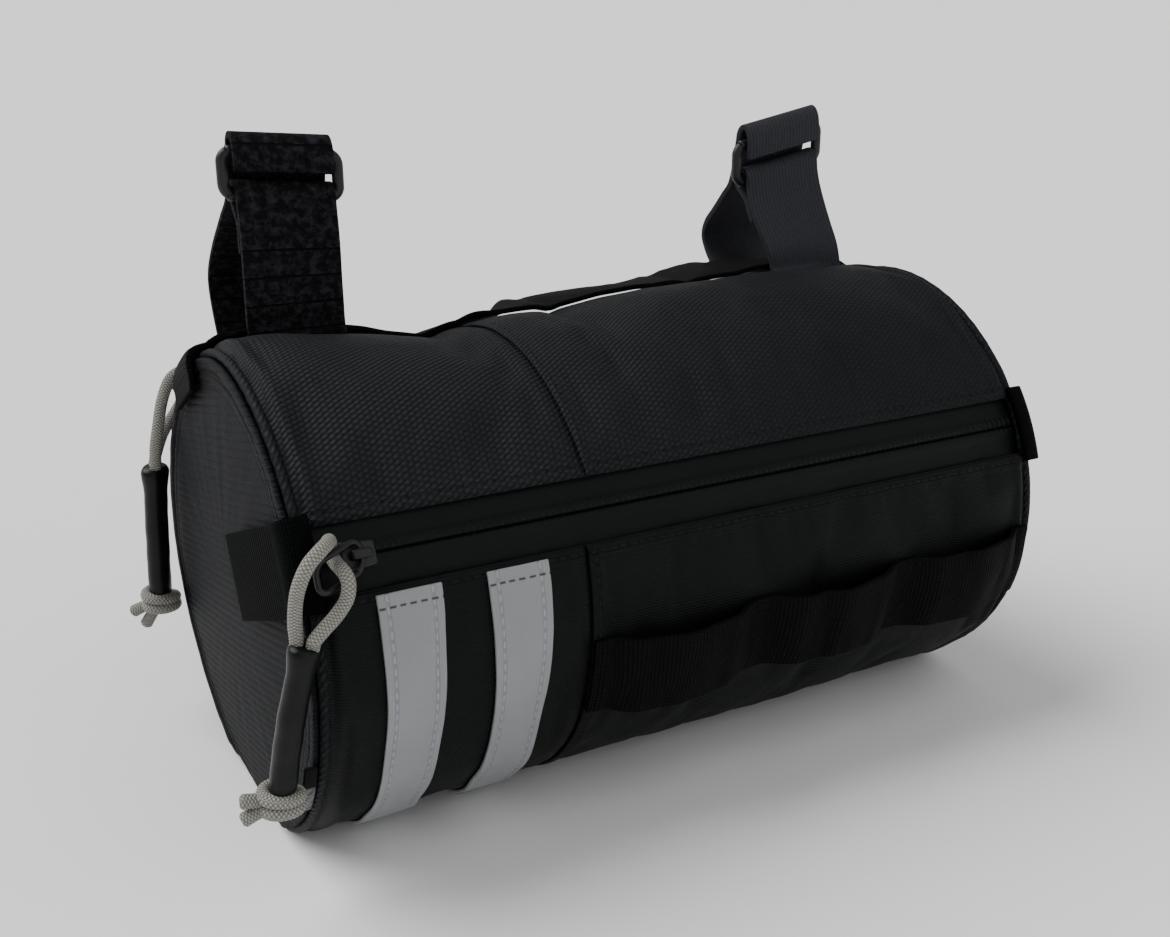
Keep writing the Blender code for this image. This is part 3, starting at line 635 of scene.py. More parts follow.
def shapedGrid(name, cells, place, flat, closed=False, ends=False):
    # a grid bent into shape, with its flat size kept as the cloth coordinates
    bm = bmesh.new()
    bmesh.ops.create_grid(bm, x_segments=cells[0], y_segments=cells[1], size=0.5)
    layer = bm.loops.layers.uv.new("cloth")
    for face in bm.faces:
        for corner in face.loops:
            corner[layer].uv = flat(corner.vert.co.x + 0.5, corner.vert.co.y + 0.5)
    for vert in bm.verts:
        vert.co = place(vert.co.x + 0.5, vert.co.y + 0.5)
    if closed:
        bmesh.ops.remove_doubles(bm, verts=bm.verts, dist=1e-6)
    if ends:
        rims = [edge for edge in bm.edges if edge.is_boundary]
        bmesh.ops.holes_fill(bm, edges=rims, sides=0)
        bmesh.ops.recalc_face_normals(bm, faces=bm.faces)
    return addPiece(name, bm)


def addPiece(name, bm):
    mesh = bpy.data.meshes.new(name)
    bm.to_mesh(mesh)
    bm.free()
    mesh.shade_smooth()
    made = bpy.data.objects.new(name, mesh)
    bpy.context.scene.collection.objects.link(made)
    return made


def dress(piece, finish, nodes=()):
    piece.data.materials.clear()
    piece.data.materials.append(finish.material)
    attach(piece, "root")
    if nodes:
        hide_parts(*nodes)
    return piece


def thicken(piece, thickness, offset, soft=0.0):
    wall = piece.modifiers.new("wall", "SOLIDIFY")
    wall.thickness = thickness
    wall.offset = offset
    wall.use_even_offset = False
    if soft:
        edge = piece.modifiers.new("edge", "BEVEL")
        edge.width = soft
        edge.segments = 2
        edge.limit_method = "ANGLE"
        edge.angle_limit = math.radians(50)
    return piece


def smoothCurve(points, share):
    spans = len(points) - 1
    start = min(int(share * spans), spans - 1)
    rows = [points[min(max(start + k, 0), spans)] for k in (-1, 0, 1, 2)]
    return [cubic(values, share * spans - start) for values in zip(*rows)]


def evenPoints(points, count):
    dense = [Vector(smoothCurve(points, i / 600)) for i in range(601)]
    walked = [0.0]
    for a, b in zip(dense, dense[1:]):
        walked.append(walked[-1] + (b - a).length)
    made = []
    at = 0
    for i in range(count):
        goal = walked[-1] * i / (count - 1)
        while at < len(walked) - 2 and walked[at + 1] < goal:
            at += 1
        span = walked[at + 1] - walked[at]
        made.append(dense[at].lerp(dense[at + 1], (goal - walked[at]) / span))
    return made


def routeLength(route):
    return sum((b - a).length for a, b in zip(route, route[1:]))


def tube(name, route, radius, sides=12, closed=False):
    # a round tube on a route; radius may be a function of the share along and the turn
    count = len(route)
    frames = []
    side = None
    for i in range(count):
        if closed:
            ahead = (route[(i + 1) % count] - route[i - 1]).normalized()
        else:
            ahead = (route[min(i + 1, count - 1)] - route[max(i - 1, 0)]).normalized()
        if side is None:
            side = ahead.orthogonal().normalized()
        side = (side - ahead * side.dot(ahead)).normalized()
        frames.append((side.copy(), ahead.cross(side)))
    if closed:
        # the twist that is left over is spread along the ring
        slip = math.atan2(frames[0][0].dot(frames[-1][1]), frames[0][0].dot(frames[-1][0]))
        for i, (a, b) in enumerate(frames):
            turn = slip * i / (count - 1)
            frames[i] = (a * math.cos(turn) + b * math.sin(turn), b * math.cos(turn) - a * math.sin(turn))
    size = radius if callable(radius) else lambda share, turn: radius
    long = routeLength(route)
    steps = count if closed else count - 1

    def place(u, v):
        i = round(u * steps)
        turn = 2 * math.pi * (v % 1.0)
        a, b = frames[i % count]
        reach = size(i / steps, turn)
        return route[i % count] + (a * math.cos(turn) + b * math.sin(turn)) * reach

    def flat(u, v):
        return (u * long, v * 2 * math.pi * size(0.5, 0.0))

    return shapedGrid(name, (steps, sides), place, flat, closed=True, ends=not closed)


def roundedLoop(halfLong, halfHigh, corner):
    # an oblong with round corners
    points = []
    for signX, signY, start in ((1, 1, 0), (-1, 1, 90), (-1, -1, 180), (1, -1, 270)):
        for step in range(9):
            turn = math.radians(start + step * 90 / 8)
            x = signX * (halfLong - corner) + corner * math.cos(turn)
            points.append((x, signY * (halfHigh - corner) + corner * math.sin(turn)))
    return points


# ---- the pull cords come first, because their length is checked against the view

pulls = {
    "cord": 0.0031,
    "sleeve": (0.0066, 0.0058),
    "tuckedIn": 0.0035,
    "mouth": 0.22,
    "knot": (0.0108, 0.0096, 0.0078),
    "knotStrand": 0.0032,
    "knotOverlap": 0.0016,
    "tail": 0.0075,
    # from the barrel's left end and axis, as shares of its radius
    "frontCord": (
        (-0.0741, -1.0138, 0.2345), (-0.0759, -1.0172, 0.3103),
        (-0.0700, -1.0310, 0.4000), (-0.0560, -1.0500, 0.4700),
        (-0.0250, -1.0560, 0.5300), (0.0220, -1.0340, 0.5600),
        (0.0620, -0.9880, 0.5620), (0.0900, -0.9350, 0.5520),
        (0.1020, -0.9050, 0.5180), (0.1040, -0.9120, 0.4850),
        (0.1060, -0.9450, 0.4680), (0.1090, -0.9900, 0.4630),
        (0.1120, -1.0300, 0.4520), (0.1110, -1.0570, 0.4250),
        (0.0960, -1.0680, 0.3800), (0.0560, -1.0710, 0.3300),
        (0.0080, -1.0680, 0.2850), (-0.0200, -1.0570, 0.2500),
        (-0.0260, -1.0480, 0.2293),
    ),
    "frontSleeve": (
        (-0.0466, -1.0276, 0.2241), (-0.0690, -1.0190, 0.1207),
        (-0.1069, -0.9897, -0.0690), (-0.1276, -0.9517, -0.2414),
        (-0.1414, -0.9224, -0.3897),
    ),
    "rearCord": (
        (-0.1379, 0.8086, 0.3397), (-0.1345, 0.7793, 0.4397),
        (-0.1172, 0.7586, 0.5431), (-0.0862, 0.7724, 0.6517),
        (-0.0414, 0.7862, 0.7379), (0.0069, 0.7776, 0.7724),
        (0.0431, 0.7621, 0.7586), (0.0534, 0.7534, 0.7328),
        (0.0552, 0.7741, 0.6983), (0.0552, 0.8069, 0.6845),
        (0.0552, 0.8500, 0.6879), (0.0552, 0.8966, 0.6914),
        (0.0552, 0.9293, 0.6707), (0.0483, 0.9431, 0.6241),
        (0.0276, 0.9483, 0.5776), (-0.0138, 0.9431, 0.5224),
        (-0.0621, 0.9259, 0.4655), (-0.1000, 0.8914, 0.4103),
        (-0.1293, 0.8586, 0.3517),
    ),
    "rearSleeve": (
        (-0.1362, 0.8293, 0.3328), (-0.1448, 0.8517, 0.1552),
        (-0.1500, 0.8828, -0.0345), (-0.1517, 0.9138, -0.1897),
        (-0.1517, 0.9414, -0.3310),
    ),
    "frontTails": ((-0.95, 0.1, 0.25), (-0.9, 0.1, -0.25)),
    "rearTails": ((-0.85, 0.45, -0.35), (-0.5, 0.3, -0.8)),
}


def besideBarrel(points):
    origin = Vector((-half, 0, bag["restHeight"]))
    return [Vector(p) * bag["radius"] + origin for p in points]


def sleeveRadius(share, turn):
    wide, deep = (s / 2 for s in pulls["sleeve"])
    # two cords show through as a waist down the middle, and both ends are rolled in
    oval = 1 / math.sqrt((math.cos(turn) / wide) ** 2 + (math.sin(turn) / deep) ** 2)
    waist = 1 - 0.07 * ease(1 - share * 1.6) * abs(math.sin(turn)) ** 6
    rolled = 1 - 0.16 * (1 - ease(min(share, 1 - share) / 0.03))
    # the mouth is stretched over the two strands that go in
    mouth = 1 + pulls["mouth"] * (1 - ease(share / 0.22))
    crimp = 1 + 0.012 * math.sin(share * 31) + 0.01 * math.sin(share * 17 + turn)
    return oval * waist * rolled * mouth * crimp


def knotPath(centre):
    # the strand winds twice round the sleeve's end and tucks into its own turns
    wide, deep, high = (s / 2 - pulls["knotStrand"] / 2 for s in pulls["knot"])
    made = []
    for i in range(120):
        share = i / 119
        turn = 2 * math.pi * (0.12 + 2.3 * share)
        tuck = 0.45 + 0.55 * ease(min(share, 1 - share) / 0.1)
        sway = math.sin(turn * 0.5) * 0.0005
        made.append(centre + Vector((
            wide * tuck * math.cos(turn),
            deep * tuck * math.sin(turn),
            blend(high, -high, share) + sway,
        )))
    return made


def addPull(word, finish, sleeveFinish):
    name = f"{word}_pull"
    ends = besideBarrel(pulls[f"{word}Sleeve"])
    into = (ends[1] - ends[0]).normalized() * pulls["tuckedIn"]
    loop = besideBarrel(pulls[f"{word}Cord"])
    loop = [loop[0] + into, *loop, loop[-1] + into]
    route = evenPoints(loop, 120)
    strand = tube(f"{name}_cord", route, pulls["cord"] / 2 * 0.98, 14)
    dress(strand, finish, [f"{name}_cord"])
    cover = tube(f"{name}_sleeve", evenPoints(ends, 48), sleeveRadius, 24)
    dress(cover, sleeveFinish, [f"{name}_sleeve"])
    along = (ends[-1] - ends[-2]).normalized()
    centre = ends[-1] + along * (pulls["knot"][2] / 2 - pulls["knotOverlap"])
    knot = tube(f"{name}_knot", evenPoints(knotPath(centre), 120), pulls["knotStrand"] / 2)
    dress(knot, finish, [f"{name}_knot"])
    for i, lean in enumerate(pulls[f"{word}Tails"]):
        towards = Vector(lean).normalized()
        start = centre + towards * 0.0014
        steps = (0, 0.25, 0.5, 0.75, 1)
        points = [start + towards * pulls["tail"] * s + Vector((0, 0, -0.0006 * s * s)) for s in steps]

        def stub(share, turn):
            return 0.0015 * (1 + 0.14 * share) * (1 - 0.3 * ease((share - 0.94) * 16))

        tail = tube(f"{name}_tail_{i + 1}", evenPoints(points, 16), stub, 12)
        dress(tail, finish)
    routeLength(route)


cordLook = cordFinish()
sleeveLook = plasticFinish("sleeve", 0.36, 0.16)
for word in ("front", "rear"):
    addPull(word, cordLook, sleeveLook)
print("pulls hung")


# ---- panels

panels = {
    "columns": {"upper_left": 110, "upper_right": 200, "lower_left": 100, "lower_right": 190},
    "upperRows": 110,
    "lowerRows": 240,
    "hemWidth": 0.0026,
    "hemRise": 0.0005,
    "stitchPress": 0.00022,
    "lapRise": 0.0006,
    "underlap": 0.001,
    "lapFlat": 0.0016,
    "lapSlope": 0.0026,
    "seamPress": 0.00025,
    "tuckReach": 0.0012,
    "tuckDrop": 0.0004,
    "rimRidge": 0.0004,
    "rimRidgeAway": 0.0025,
    "rimRoll": 0.0007,
    "ripple": 0.00045,
}


def hemLift(away):
    # the folded edge stands proud, is pressed in at its stitching and rolls down at the end
    if away > panels["hemWidth"] * 2.5:
        return 0.0
    proud = panels["hemRise"] * (1 - ease((away - panels["hemWidth"]) / 0.0018))
    press = panels["stitchPress"] * bell(away, panels["hemWidth"], 0.0005)
    roll = 0.0006 * bell(away, 0.0, 0.0006)
    return proud - press - roll


def ripple(x, angle):
    a = math.radians(angle)
    spot = Vector((x * 38, math.cos(a) * 2.6, math.sin(a) * 2.6))
    return noise.noise(spot) * panels["ripple"] + noise.noise(spot * 3.1) * panels["ripple"] * 0.3


def addPanel(name, side, seam, span, cells, finish):
    first, last = span

    def where(u, v):
        angle = blend(first, last, crowd(v))
        inner = seam + (panels["underlap"] if side < 0 else 0.0)
        outer = panelX(side, angle) + side * bag["binding"] * 0.35
        low, high = (outer, inner) if side < 0 else (inner, outer)
        return blend(low, high, crowd(u, 0.5)), angle

    def place(u, v):
        x, angle = where(u, v)
        radius = bag["radius"]
        lift = hemLift(radius * math.radians(min(angle - first, last - angle)))
        seamAway = abs(x - seam)
        if side > 0:
            # the right cloth laps over the left one and is pressed down by its stitching
            lift += panels["lapRise"] * (1 - ease((seamAway - panels["lapFlat"]) / panels["lapSlope"]))
            lift -= panels["seamPress"] * bell(seamAway, 0.0, 0.0004)
        elif x > seam - panels["tuckReach"]:
            lift -= panels["tuckDrop"] * ease((x - seam + panels["tuckReach"]) / 0.0014)
        rimAway = max(panelEnd - abs(x), 0.0)
        lift += panels["rimRidge"] * bell(rimAway, panels["rimRidgeAway"], 0.0016)
        lift -= panels["rimRoll"] * bell(rimAway, 0.0, 0.001)
        return barrelPoint(x, angle, lift + ripple(x, angle))

    def flat(u, v):
        x, angle = where(u, v)
        return (x, bag["radius"] * math.radians(angle))

    piece = shapedGrid(name, cells, place, flat)
    thicken(piece, bag["wall"], -1)
    dress(piece, finish, [name])
    return piece


settleBarrel()
coarseLook = coarseFinish()
coatedLook = coatedFinish()
for side, word in ((-1, "left"), (1, "right")):
    cells = (panels["columns"][f"upper_{word}"], panels["upperRows"])
    addPanel(f"upper_panel_{word}", side, bag["topSeam"], (upperFirst, upperLast), cells,
             coarseLook)
    cells = (panels["columns"][f"lower_{word}"], panels["lowerRows"])
    addPanel(f"lower_panel_{word}", side, bag["lowerSeam"], (lowerFirst, lowerLast), cells,
             coatedLook)
print("panels sewn")


# ---- end discs and their bindings

caps = {
    "rings": 60,
    "turns": 150,
    "strip": 0.0022,
    "stripRise": 0.0004,
    "innerRise": 0.0002,
    "groove": 0.0005,
    "grooveIn": 0.0004,
    "pucker": 0.00018,
}


def addCap(side, word, finish, bindingFinish):
    def where(u, v):
        share = 1 - (1 - u) ** 1.25
        return share, 360 * v

    def place(u, v):
        share, angle = where(u, v)
        turn = math.radians(angle % 360)
        edge = barrelRadius(side * half, angle) - bag["binding"] * 0.75
        away = edge * (1 - share)
        lift = bag["capBulge"] * (1 - share ** 2)
        # a strip stands round the rim, with a groove and a second, lower strip inside it
        rim = caps["stripRise"] * (1 - ease((away - caps["strip"]) / 0.0008))
        rim += caps["innerRise"] * (1 - ease((away - 2 * caps["strip"]) / 0.0008))
        rim -= caps["groove"] * bell(away - caps["strip"], caps["grooveIn"], 0.0005)
        pucker = noise.noise(Vector((math.cos(turn) * 9, math.sin(turn) * 9, share * 3)))
        rim += caps["pucker"] * pucker * ease(share * 1.4)
        x = half - bag["binding"] / 2 + bag["wall"] / 2 + lift + rim + rimShift(side, angle) * share ** 2
        height = max(edge * share * math.sin(turn), bag["binding"] + bag["gap"] - bag["restHeight"])
        return Vector((side * x, -edge * share * math.cos(turn), bag["restHeight"] + height))

    def flat(u, v):
        spot = place(u, v)
        return (spot.y, spot.z)

    cap = shapedGrid(f"end_cap_{word}", (caps["rings"], caps["turns"]), place, flat, closed=True)
    thicken(cap, bag["wall"], 1 if side < 0 else -1)
    dress(cap, finish, [f"end_cap_{word}"])
    route = []
    for i in range(160):
        angle = 360 * i / 160
        x = side * (half - bag["binding"] / 2 + rimShift(side, angle))
        route.append(barrelPoint(x, angle, -bag["binding"] / 2))

    def thick(share, turn):
        return bag["binding"] / 2 * (1 + 0.05 * math.sin(share * 400))

    ring = tube(f"rim_binding_{word}", route, thick, closed=True)
    dress(ring, bindingFinish, [f"rim_binding_{word}"])


capLook = capFinish()
for side, word in ((-1, "left"), (1, "right")):
    addCap(side, word, capLook, coarseLook)
print("ends closed")


# ---- zips

zips = {
    "hem": 0.003,
    "slit": 0.00016,
    "tape": 0.001,
    "rise": 0.00065,
    "sliderLength": 0.0078,
    "sliderWidth": 0.0068,
    "sliderHeight": 0.0026,
    "crownLength": 0.0046,
    "crownWidth": 0.0022,
    "crownHeight": 0.0032,
    "crownSunk": 0.0002,
    "wire": 0.0014,
    "bailLength": 0.0125,
    "bailWidth": 0.008,
    "bailSwing": {"front_zip": 20.0, "rear_zip": 0.0},
    "bailRise": 0.0035,
    "bailRounding": 0.7,
    "nose": 0.78,
    "frontInset": 0.0118,
    "rearInset": 0.0106,
}


def addTapes(name, angle, finish):
    behind = -bag["wall"] - bag["gap"]
    slit = zips["slit"] / 2
    reach = bag["zipWidth"] / 2 + zips["hem"]
    for word, sign in (("upper", 1), ("lower", -1)):
        def where(u, v):
            away = blend(slit, reach, v if sign > 0 else 1 - v)
            at = angle + sign * math.degrees(away / bag["radius"])
            return blend(panelX(-1, at), panelX(1, at), u), at, away

        def place(u, v):
            x, at, away = where(u, v)
            over = zips["rise"] * bell(away, 0.0013, 0.0017)
            roll = 0.00035 * bell(away, 0.0, 0.00032)
            return barrelPoint(x, at, behind + over - roll)

        def flat(u, v):
            x, at, away = where(u, v)
            return (x, sign * away)

        tape = shapedGrid(f"{name}_tape_{word}", (200, 30), place, flat)
        thicken(tape, zips["tape"], -1)
        dress(tape, finish, [f"{name}_tape_{word}"])


def barrelFrame(x, angle, lift):
    made = Matrix.Identity(4)
    for row in range(3):
        made[row][0] = (1.0, 0.0, 0.0)[row]
        made[row][1] = roundIt(angle)[row]
        made[row][2] = outwards(angle)[row]
    made.translation = barrelPoint(x, angle, lift)
    return made


def roundBox(bm, size, middle, rounding, nose=1.0):
    # a box with round edges; its nose end, towards the right, may be narrower
    verts = bmesh.ops.create_cube(bm, size=1)["verts"]
    bmesh.ops.scale(bm, vec=size, verts=verts)
    bmesh.ops.translate(bm, vec=(0, 0, middle), verts=verts)
    for vert in verts:
        if vert.co.x > 0:
            vert.co.y *= nose
    edges = [edge for edge in bm.edges if edge.verts[0] in verts]
    bmesh.ops.bevel(bm, geom=edges, offset=rounding, offset_type="OFFSET", segments=3,
                    profile=0.5, affect="EDGES", material=-1)


def addSlider(name, inset, angle, finish):
    z = zips
    put = barrelFrame(inset - half, angle, -bag["wall"])
    high = z["crownHeight"]
    bm = bmesh.new()
    slider = (z["sliderLength"], z["sliderWidth"], z["sliderHeight"])
    roundBox(bm, slider, z["sliderHeight"] / 2, 0.0006, z["nose"])
    # a post stands on it for the bail
    crown = (z["crownLength"], z["crownWidth"], high)
    roundBox(bm, crown, z["sliderHeight"] + high / 2 - z["crownSunk"], 0.0007)
    bmesh.ops.transform(bm, matrix=put, verts=bm.verts)
    body = addPiece(f"{name}_slider", bm)
    dress(body, finish, [f"{name}_slider"])
    eye = z["sliderHeight"] + high / 2
    across = (z["bailWidth"] - z["wire"]) / 2
    swing = math.tan(math.radians(z["bailSwing"][name]))
    long = z["bailLength"] - z["wire"]
    route = []
    for x, y in roundedLoop(long / 2, across, across * z["bailRounding"]):
        x -= long / 2
        route.append(put @ Vector((x, y + x * swing, eye + z["bailRise"] * ease(-x / long))))
    route = evenPoints(route + [route[0]], 73)[:-1]
    bail = tube(f"{name}_bail", route, z["wire"] / 2, 12, closed=True)
    dress(bail, finish, [f"{name}_bail"])


zipLook = zipFinish()
metalLook = metalFinish()
for word in ("front", "rear"):
    name, angle = f"{word}_zip", bag[f"{word}Zip"]
    addTapes(name, angle, zipLook)
    addSlider(name, zips[f"{word}Inset"], angle, metalLook)
    # the coil is shown as the solid itself
    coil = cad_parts[f"{name}_coil"]
    coil.data.materials.clear()
    coil.data.materials.append(metalLook.material)
print("zips closed")


# ---- reflective strips

strips = {
    "width": 0.0148,
    "taper": 0.0022,
    "thickness": 0.0008,
    "firstInset": 0.0212,
    "pitch": 0.0255,
    "topMargin": 0.0014,
    "endAngle": -62.0,
    "stitchDrop": 0.003,
}


def addStrips(finish):
    top = bag["frontZip"] - zipHalfAngle - math.degrees(strips["topMargin"] / bag["radius"])
    for i in range(2):
        middle = strips["firstInset"] - half + i * strips["pitch"]

        def where(u, v):
            width = strips["width"] - strips["taper"] * ease(2 - 2 * v)
            return middle - strips["width"] / 2 + u * width, blend(strips["endAngle"], top, v)

        def place(u, v):
            x, angle = where(u, v)
            press = 0.00012 * (bell(u, 0.15, 0.03) + bell(u, 0.85, 0.03))
            return barrelPoint(x, angle, bag["gap"] + ripple(x, angle) - press)

        def flat(u, v):
            x, angle = where(u, v)
            return (bag["radius"] * math.radians(top - angle), u * strips["width"])

        strip = shapedGrid(f"reflective_strip_{i + 1}", (14, 110), place, flat)
        thicken(strip, strips["thickness"], 1, 0.0002)
        dress(strip, finish, [f"reflective_strip_{i + 1}"])


addStrips(reflectFinish())
print("strips sewn on")


# ---- webbing, tabs and label

webbings = {
    "width": 0.0205,
    "thickness": 0.0014,
    "frontAngle": -12.5,
    "rearAngle": 124.0,
    # along, turn, lift of the first edge and how much higher the other stands, as shares of the width
    "front": (
        (-0.365, -0.2, 0.016, 0.0), (-0.330, -0.1, 0.016, 0.0),
        (-0.240, 0.1, 0.190, 0.0), (-0.130, 0.4, 0.270, 0.0),
        (-0.020, 0.6, 0.200, 0.0), (0.075, 0.8, 0.020, 0.0),
        (0.115, 0.9, 0.020, 0.0), (0.210, 1.1, 0.220, 0.0),
        (0.320, 1.3, 0.290, 0.0), (0.430, 1.5, 0.210, 0.0),
        (0.515, 1.7, 0.020, 0.0), (0.550, 1.7, 0.020, 0.0),
        (0.650, 1.9, 0.190, 0.0), (0.760, 2.1, 0.240, 0.0),
        (0.870, 2.3, 0.160, 0.0), (0.940, 2.5, 0.020, 0.0),
        (0.970, 2.5, 0.016, 0.0),
    ),
    "rear": (
        (-0.971, -5.0, 0.040, 0.000), (-0.935, -3.5, 0.070, 0.000),
        (-0.870, 1.5, 0.130, 0.020), (-0.740, 1.5, 0.140, 0.020),
        (-0.620, 1.5, 0.140, 0.020), (-0.500, -0.5, 0.040, 0.000),
        (-0.430, -3.0, 0.020, 0.000), (-0.380, -4.0, 0.020, 0.000),
        (-0.300, -5.0, 0.060, 0.000), (-0.210, -6.0, 0.016, 0.050),
        (-0.110, -7.5, 0.030, 0.350), (-0.020, -9.0, 0.010, 0.335),
        (0.130, -9.0, 0.010, 0.345), (0.250, -9.0, 0.010, 0.380),
        (0.340, -8.5, 0.010, 0.450), (0.430, -8.0, 0.020, 0.540),
        (0.520, -7.0, 0.030, 0.560), (0.650, -5.0, 0.090, 0.530),
        (0.790, -5.0, 0.110, 0.450), (0.925, -3.5, 0.090, 0.290),
        (0.970, -3.0, 0.016, 0.000),
    ),
    "rearWrap": 0.08,
    "wrapLength": 0.004,
    "wrapClear": 0.0006,
}
tabs = {
    "width": 0.020,
    "thickness": 0.0016,
    "length": 0.0325,
    "overRim": 0.012,
    "skew": 0.09,
    "curl": 0.004,
    "hem": 0.0029,
    "stand": 0.0019,
    "drop": 0.0052,
}
label = {"height": 0.0168, "width": 0.0031, "thickness": 0.001, "angle": -27.5}


def runAt(run, along):
    for low, high in zip(run, run[1:]):
        if along <= high[0]:
            share = ease((along - low[0]) / (high[0] - low[0]))
            return [blend(a, b, share) for a, b in zip(low[1:], high[1:])]
    return run[-1][1:]


def webbingPoint(run, angle, along, v):
    turn, lift, tilt = runAt(run, along)
    lift = max((lift + tilt * v) * webbings["width"], bag["gap"])
    spread = math.degrees((v - 0.5) * webbings["width"] / (bag["radius"] + lift))
    x = along * half
    return barrelPoint(x, angle + turn + spread, lift + ripple(x, angle + turn + spread))


def overRim(side, angle, share, length, clear):
    stations = (
        (half - tabs["hem"], bag["gap"] + clear),
        (half - bag["binding"] / 2, bag["gap"] * 1.3 + clear),
        (half + bag["binding"] / 2, clear - bag["gap"]),
        (half + tabs["stand"] * 1.05, -tabs["drop"] * 0.46),
        (half + tabs["stand"], -tabs["drop"]),
    )
    x, lift = smoothCurve(stations, min(1.0, share * 2))
    deeper = max(0.0, share - 0.5) * 2 * length
    if deeper:
        x = half + tabs["stand"] + bag["capBulge"] * (1 - (1 - deeper / bag["radius"]) ** 2)
        lift = -tabs["drop"] - deeper
    return side * (x + rimShift(side, angle)), lift, deeper * tabs["skew"]


def tabPoint(side, angle, share, v, length, clear=0.0):
    x, lift, skew = overRim(side, angle, share, length, clear)
    point = barrelPoint(x, angle, lift)
    curl = (bag["radius"] + lift) * (1 - math.cos((v - 0.5) * tabs["width"] / bag["radius"]))
    point -= outwards(angle) * curl * (1 - ease((-lift - tabs["curl"] + 0.001) / 0.002))
    return point + roundIt(angle) * ((v - 0.5) * tabs["width"] + skew)


def addWebbings(frontFinish, rearFinish, tabFinish):
    w = webbings
    run = w["front"]
    first, last = run[0][0], run[-1][0]

    def flat(u, v):
        return (blend(first, last, u) * half, v * w["width"])

    def frontPlace(u, v):
        return webbingPoint(run, w["frontAngle"], blend(first, last, u), v)

    front = shapedGrid("front_webbing", (220, 12), frontPlace, flat)
    thicken(front, w["thickness"], 1, 0.0003)
    dress(front, frontFinish, ["front_webbing"])
    for side, word in ((-1, "left"), (1, "right")):
        def place(u, v):
            return tabPoint(side, bag["frontZip"], u if side > 0 else 1 - u, v, tabs["length"])

        def tabFlat(u, v):
            return (u * (tabs["length"] + tabs["overRim"]), v * tabs["width"])

        tab = shapedGrid(f"front_zip_tab_{word}", (60, 12), place, tabFlat)
        thicken(tab, tabs["thickness"], 1, 0.0004)
        dress(tab, tabFinish, [f"front_zip_tab_{word}"])
    rear = w["rear"]
    begin, end = rear[0][0], rear[-1][0]

    def rearPlace(u, v):
        if u < w["rearWrap"]:
            angle = w["rearAngle"] + rear[0][1]
            return tabPoint(-1, angle, 1 - u / w["rearWrap"], v, w["wrapLength"], w["wrapClear"])
        share = (u - w["rearWrap"]) / (1 - w["rearWrap"])
        return webbingPoint(rear, w["rearAngle"], blend(begin, end, share), v)

    def rearFlat(u, v):
        return (blend(begin, end, (u - w["rearWrap"]) / (1 - w["rearWrap"])) * half, v * w["width"])

    back = shapedGrid("rear_webbing", (260, 12), rearPlace, rearFlat)
    thicken(back, w["thickness"], 1, 0.0003)
    dress(back, rearFinish, ["rear_webbing"])


def addLabel(finish):
    reach = math.degrees(label["height"] / 2 / bag["radius"])

    def place(u, v):
        angle = label["angle"] + (2 * v - 1) * reach
        return barrelPoint(-half - bag["gap"] - u * label["width"], angle, -bag["binding"] / 2)

    piece = shapedGrid("label", (8, 16), place, lambda u, v: (u * label["width"], v * label["height"]))
    thicken(piece, label["thickness"], 0, 0.0003)
    dress(piece, finish, ["label"])


frontTacks = (-0.0352, 0.0096, 0.0539, 0.0968)
rearTacks = (-0.0962, -0.0435, -0.037, 0.0975)
addWebbings(
    webbingFinish("front_webbing_cloth", frontTacks),
    webbingFinish("rear_webbing_cloth", rearTacks),
    webbingFinish("tab_cloth", (), "tab"),
)
addLabel(labelFinish())
print("webbing tacked")


# ---- handlebar straps and rings

straps = {
    "width": 0.025,
    "thickness": 0.0016,
    "spacing": 0.1555,
    "centre": 0.0023,
    "ringY": 0.033,
    "ringZ": 0.0945,
    "ringLength": 0.032,
    "bar": 0.003,
    "barSpacing": 0.0105,
    "corner": 0.0026,
    "slack": 0.00075,
    # shares of the strap's width, apart from the ring's tilt in degrees
    "shapes": {
        "left": {"hand": -1, "frontLean": 0.192, "rearLean": 0.980, "flap": 0.185, "fold": 0.040,
                 "tilt": 4.5, "slide": 0.052, "drop": 0.0},
        "right": {"hand": 1, "frontLean": 0.392, "rearLean": 0.760, "flap": 0.160, "fold": 0.080,
                  "tilt": -11.0, "slide": -0.088, "drop": 0.092},
    },
    "frontBand": ((0.06, 1.10), (0.24, 0.96), (0.42, 0.68), (0.60, 0.42), (0.78, 0.18), (0.92, 0.04)),
    "rearBand": {
        "left": ((0.98, 0.14), (0.84, 0.46), (0.68, 0.80), (0.52, 1.00),
                 (0.36, 0.92), (0.21, 0.78), (0.08, 0.68)),
        "right": ((0.98, 0.14), (0.84, 0.34), (0.68, 0.60), (0.52, 0.87),
                  (0.36, 1.00), (0.21, 0.93), (0.08, 0.74)),
    },
    "tuckRises": (0.80, 0.70, 0.58),
    "tuckDepth": 0.0021,
}


def ringHeight(shape):
    return straps["ringZ"] - shape["drop"] * straps["width"]


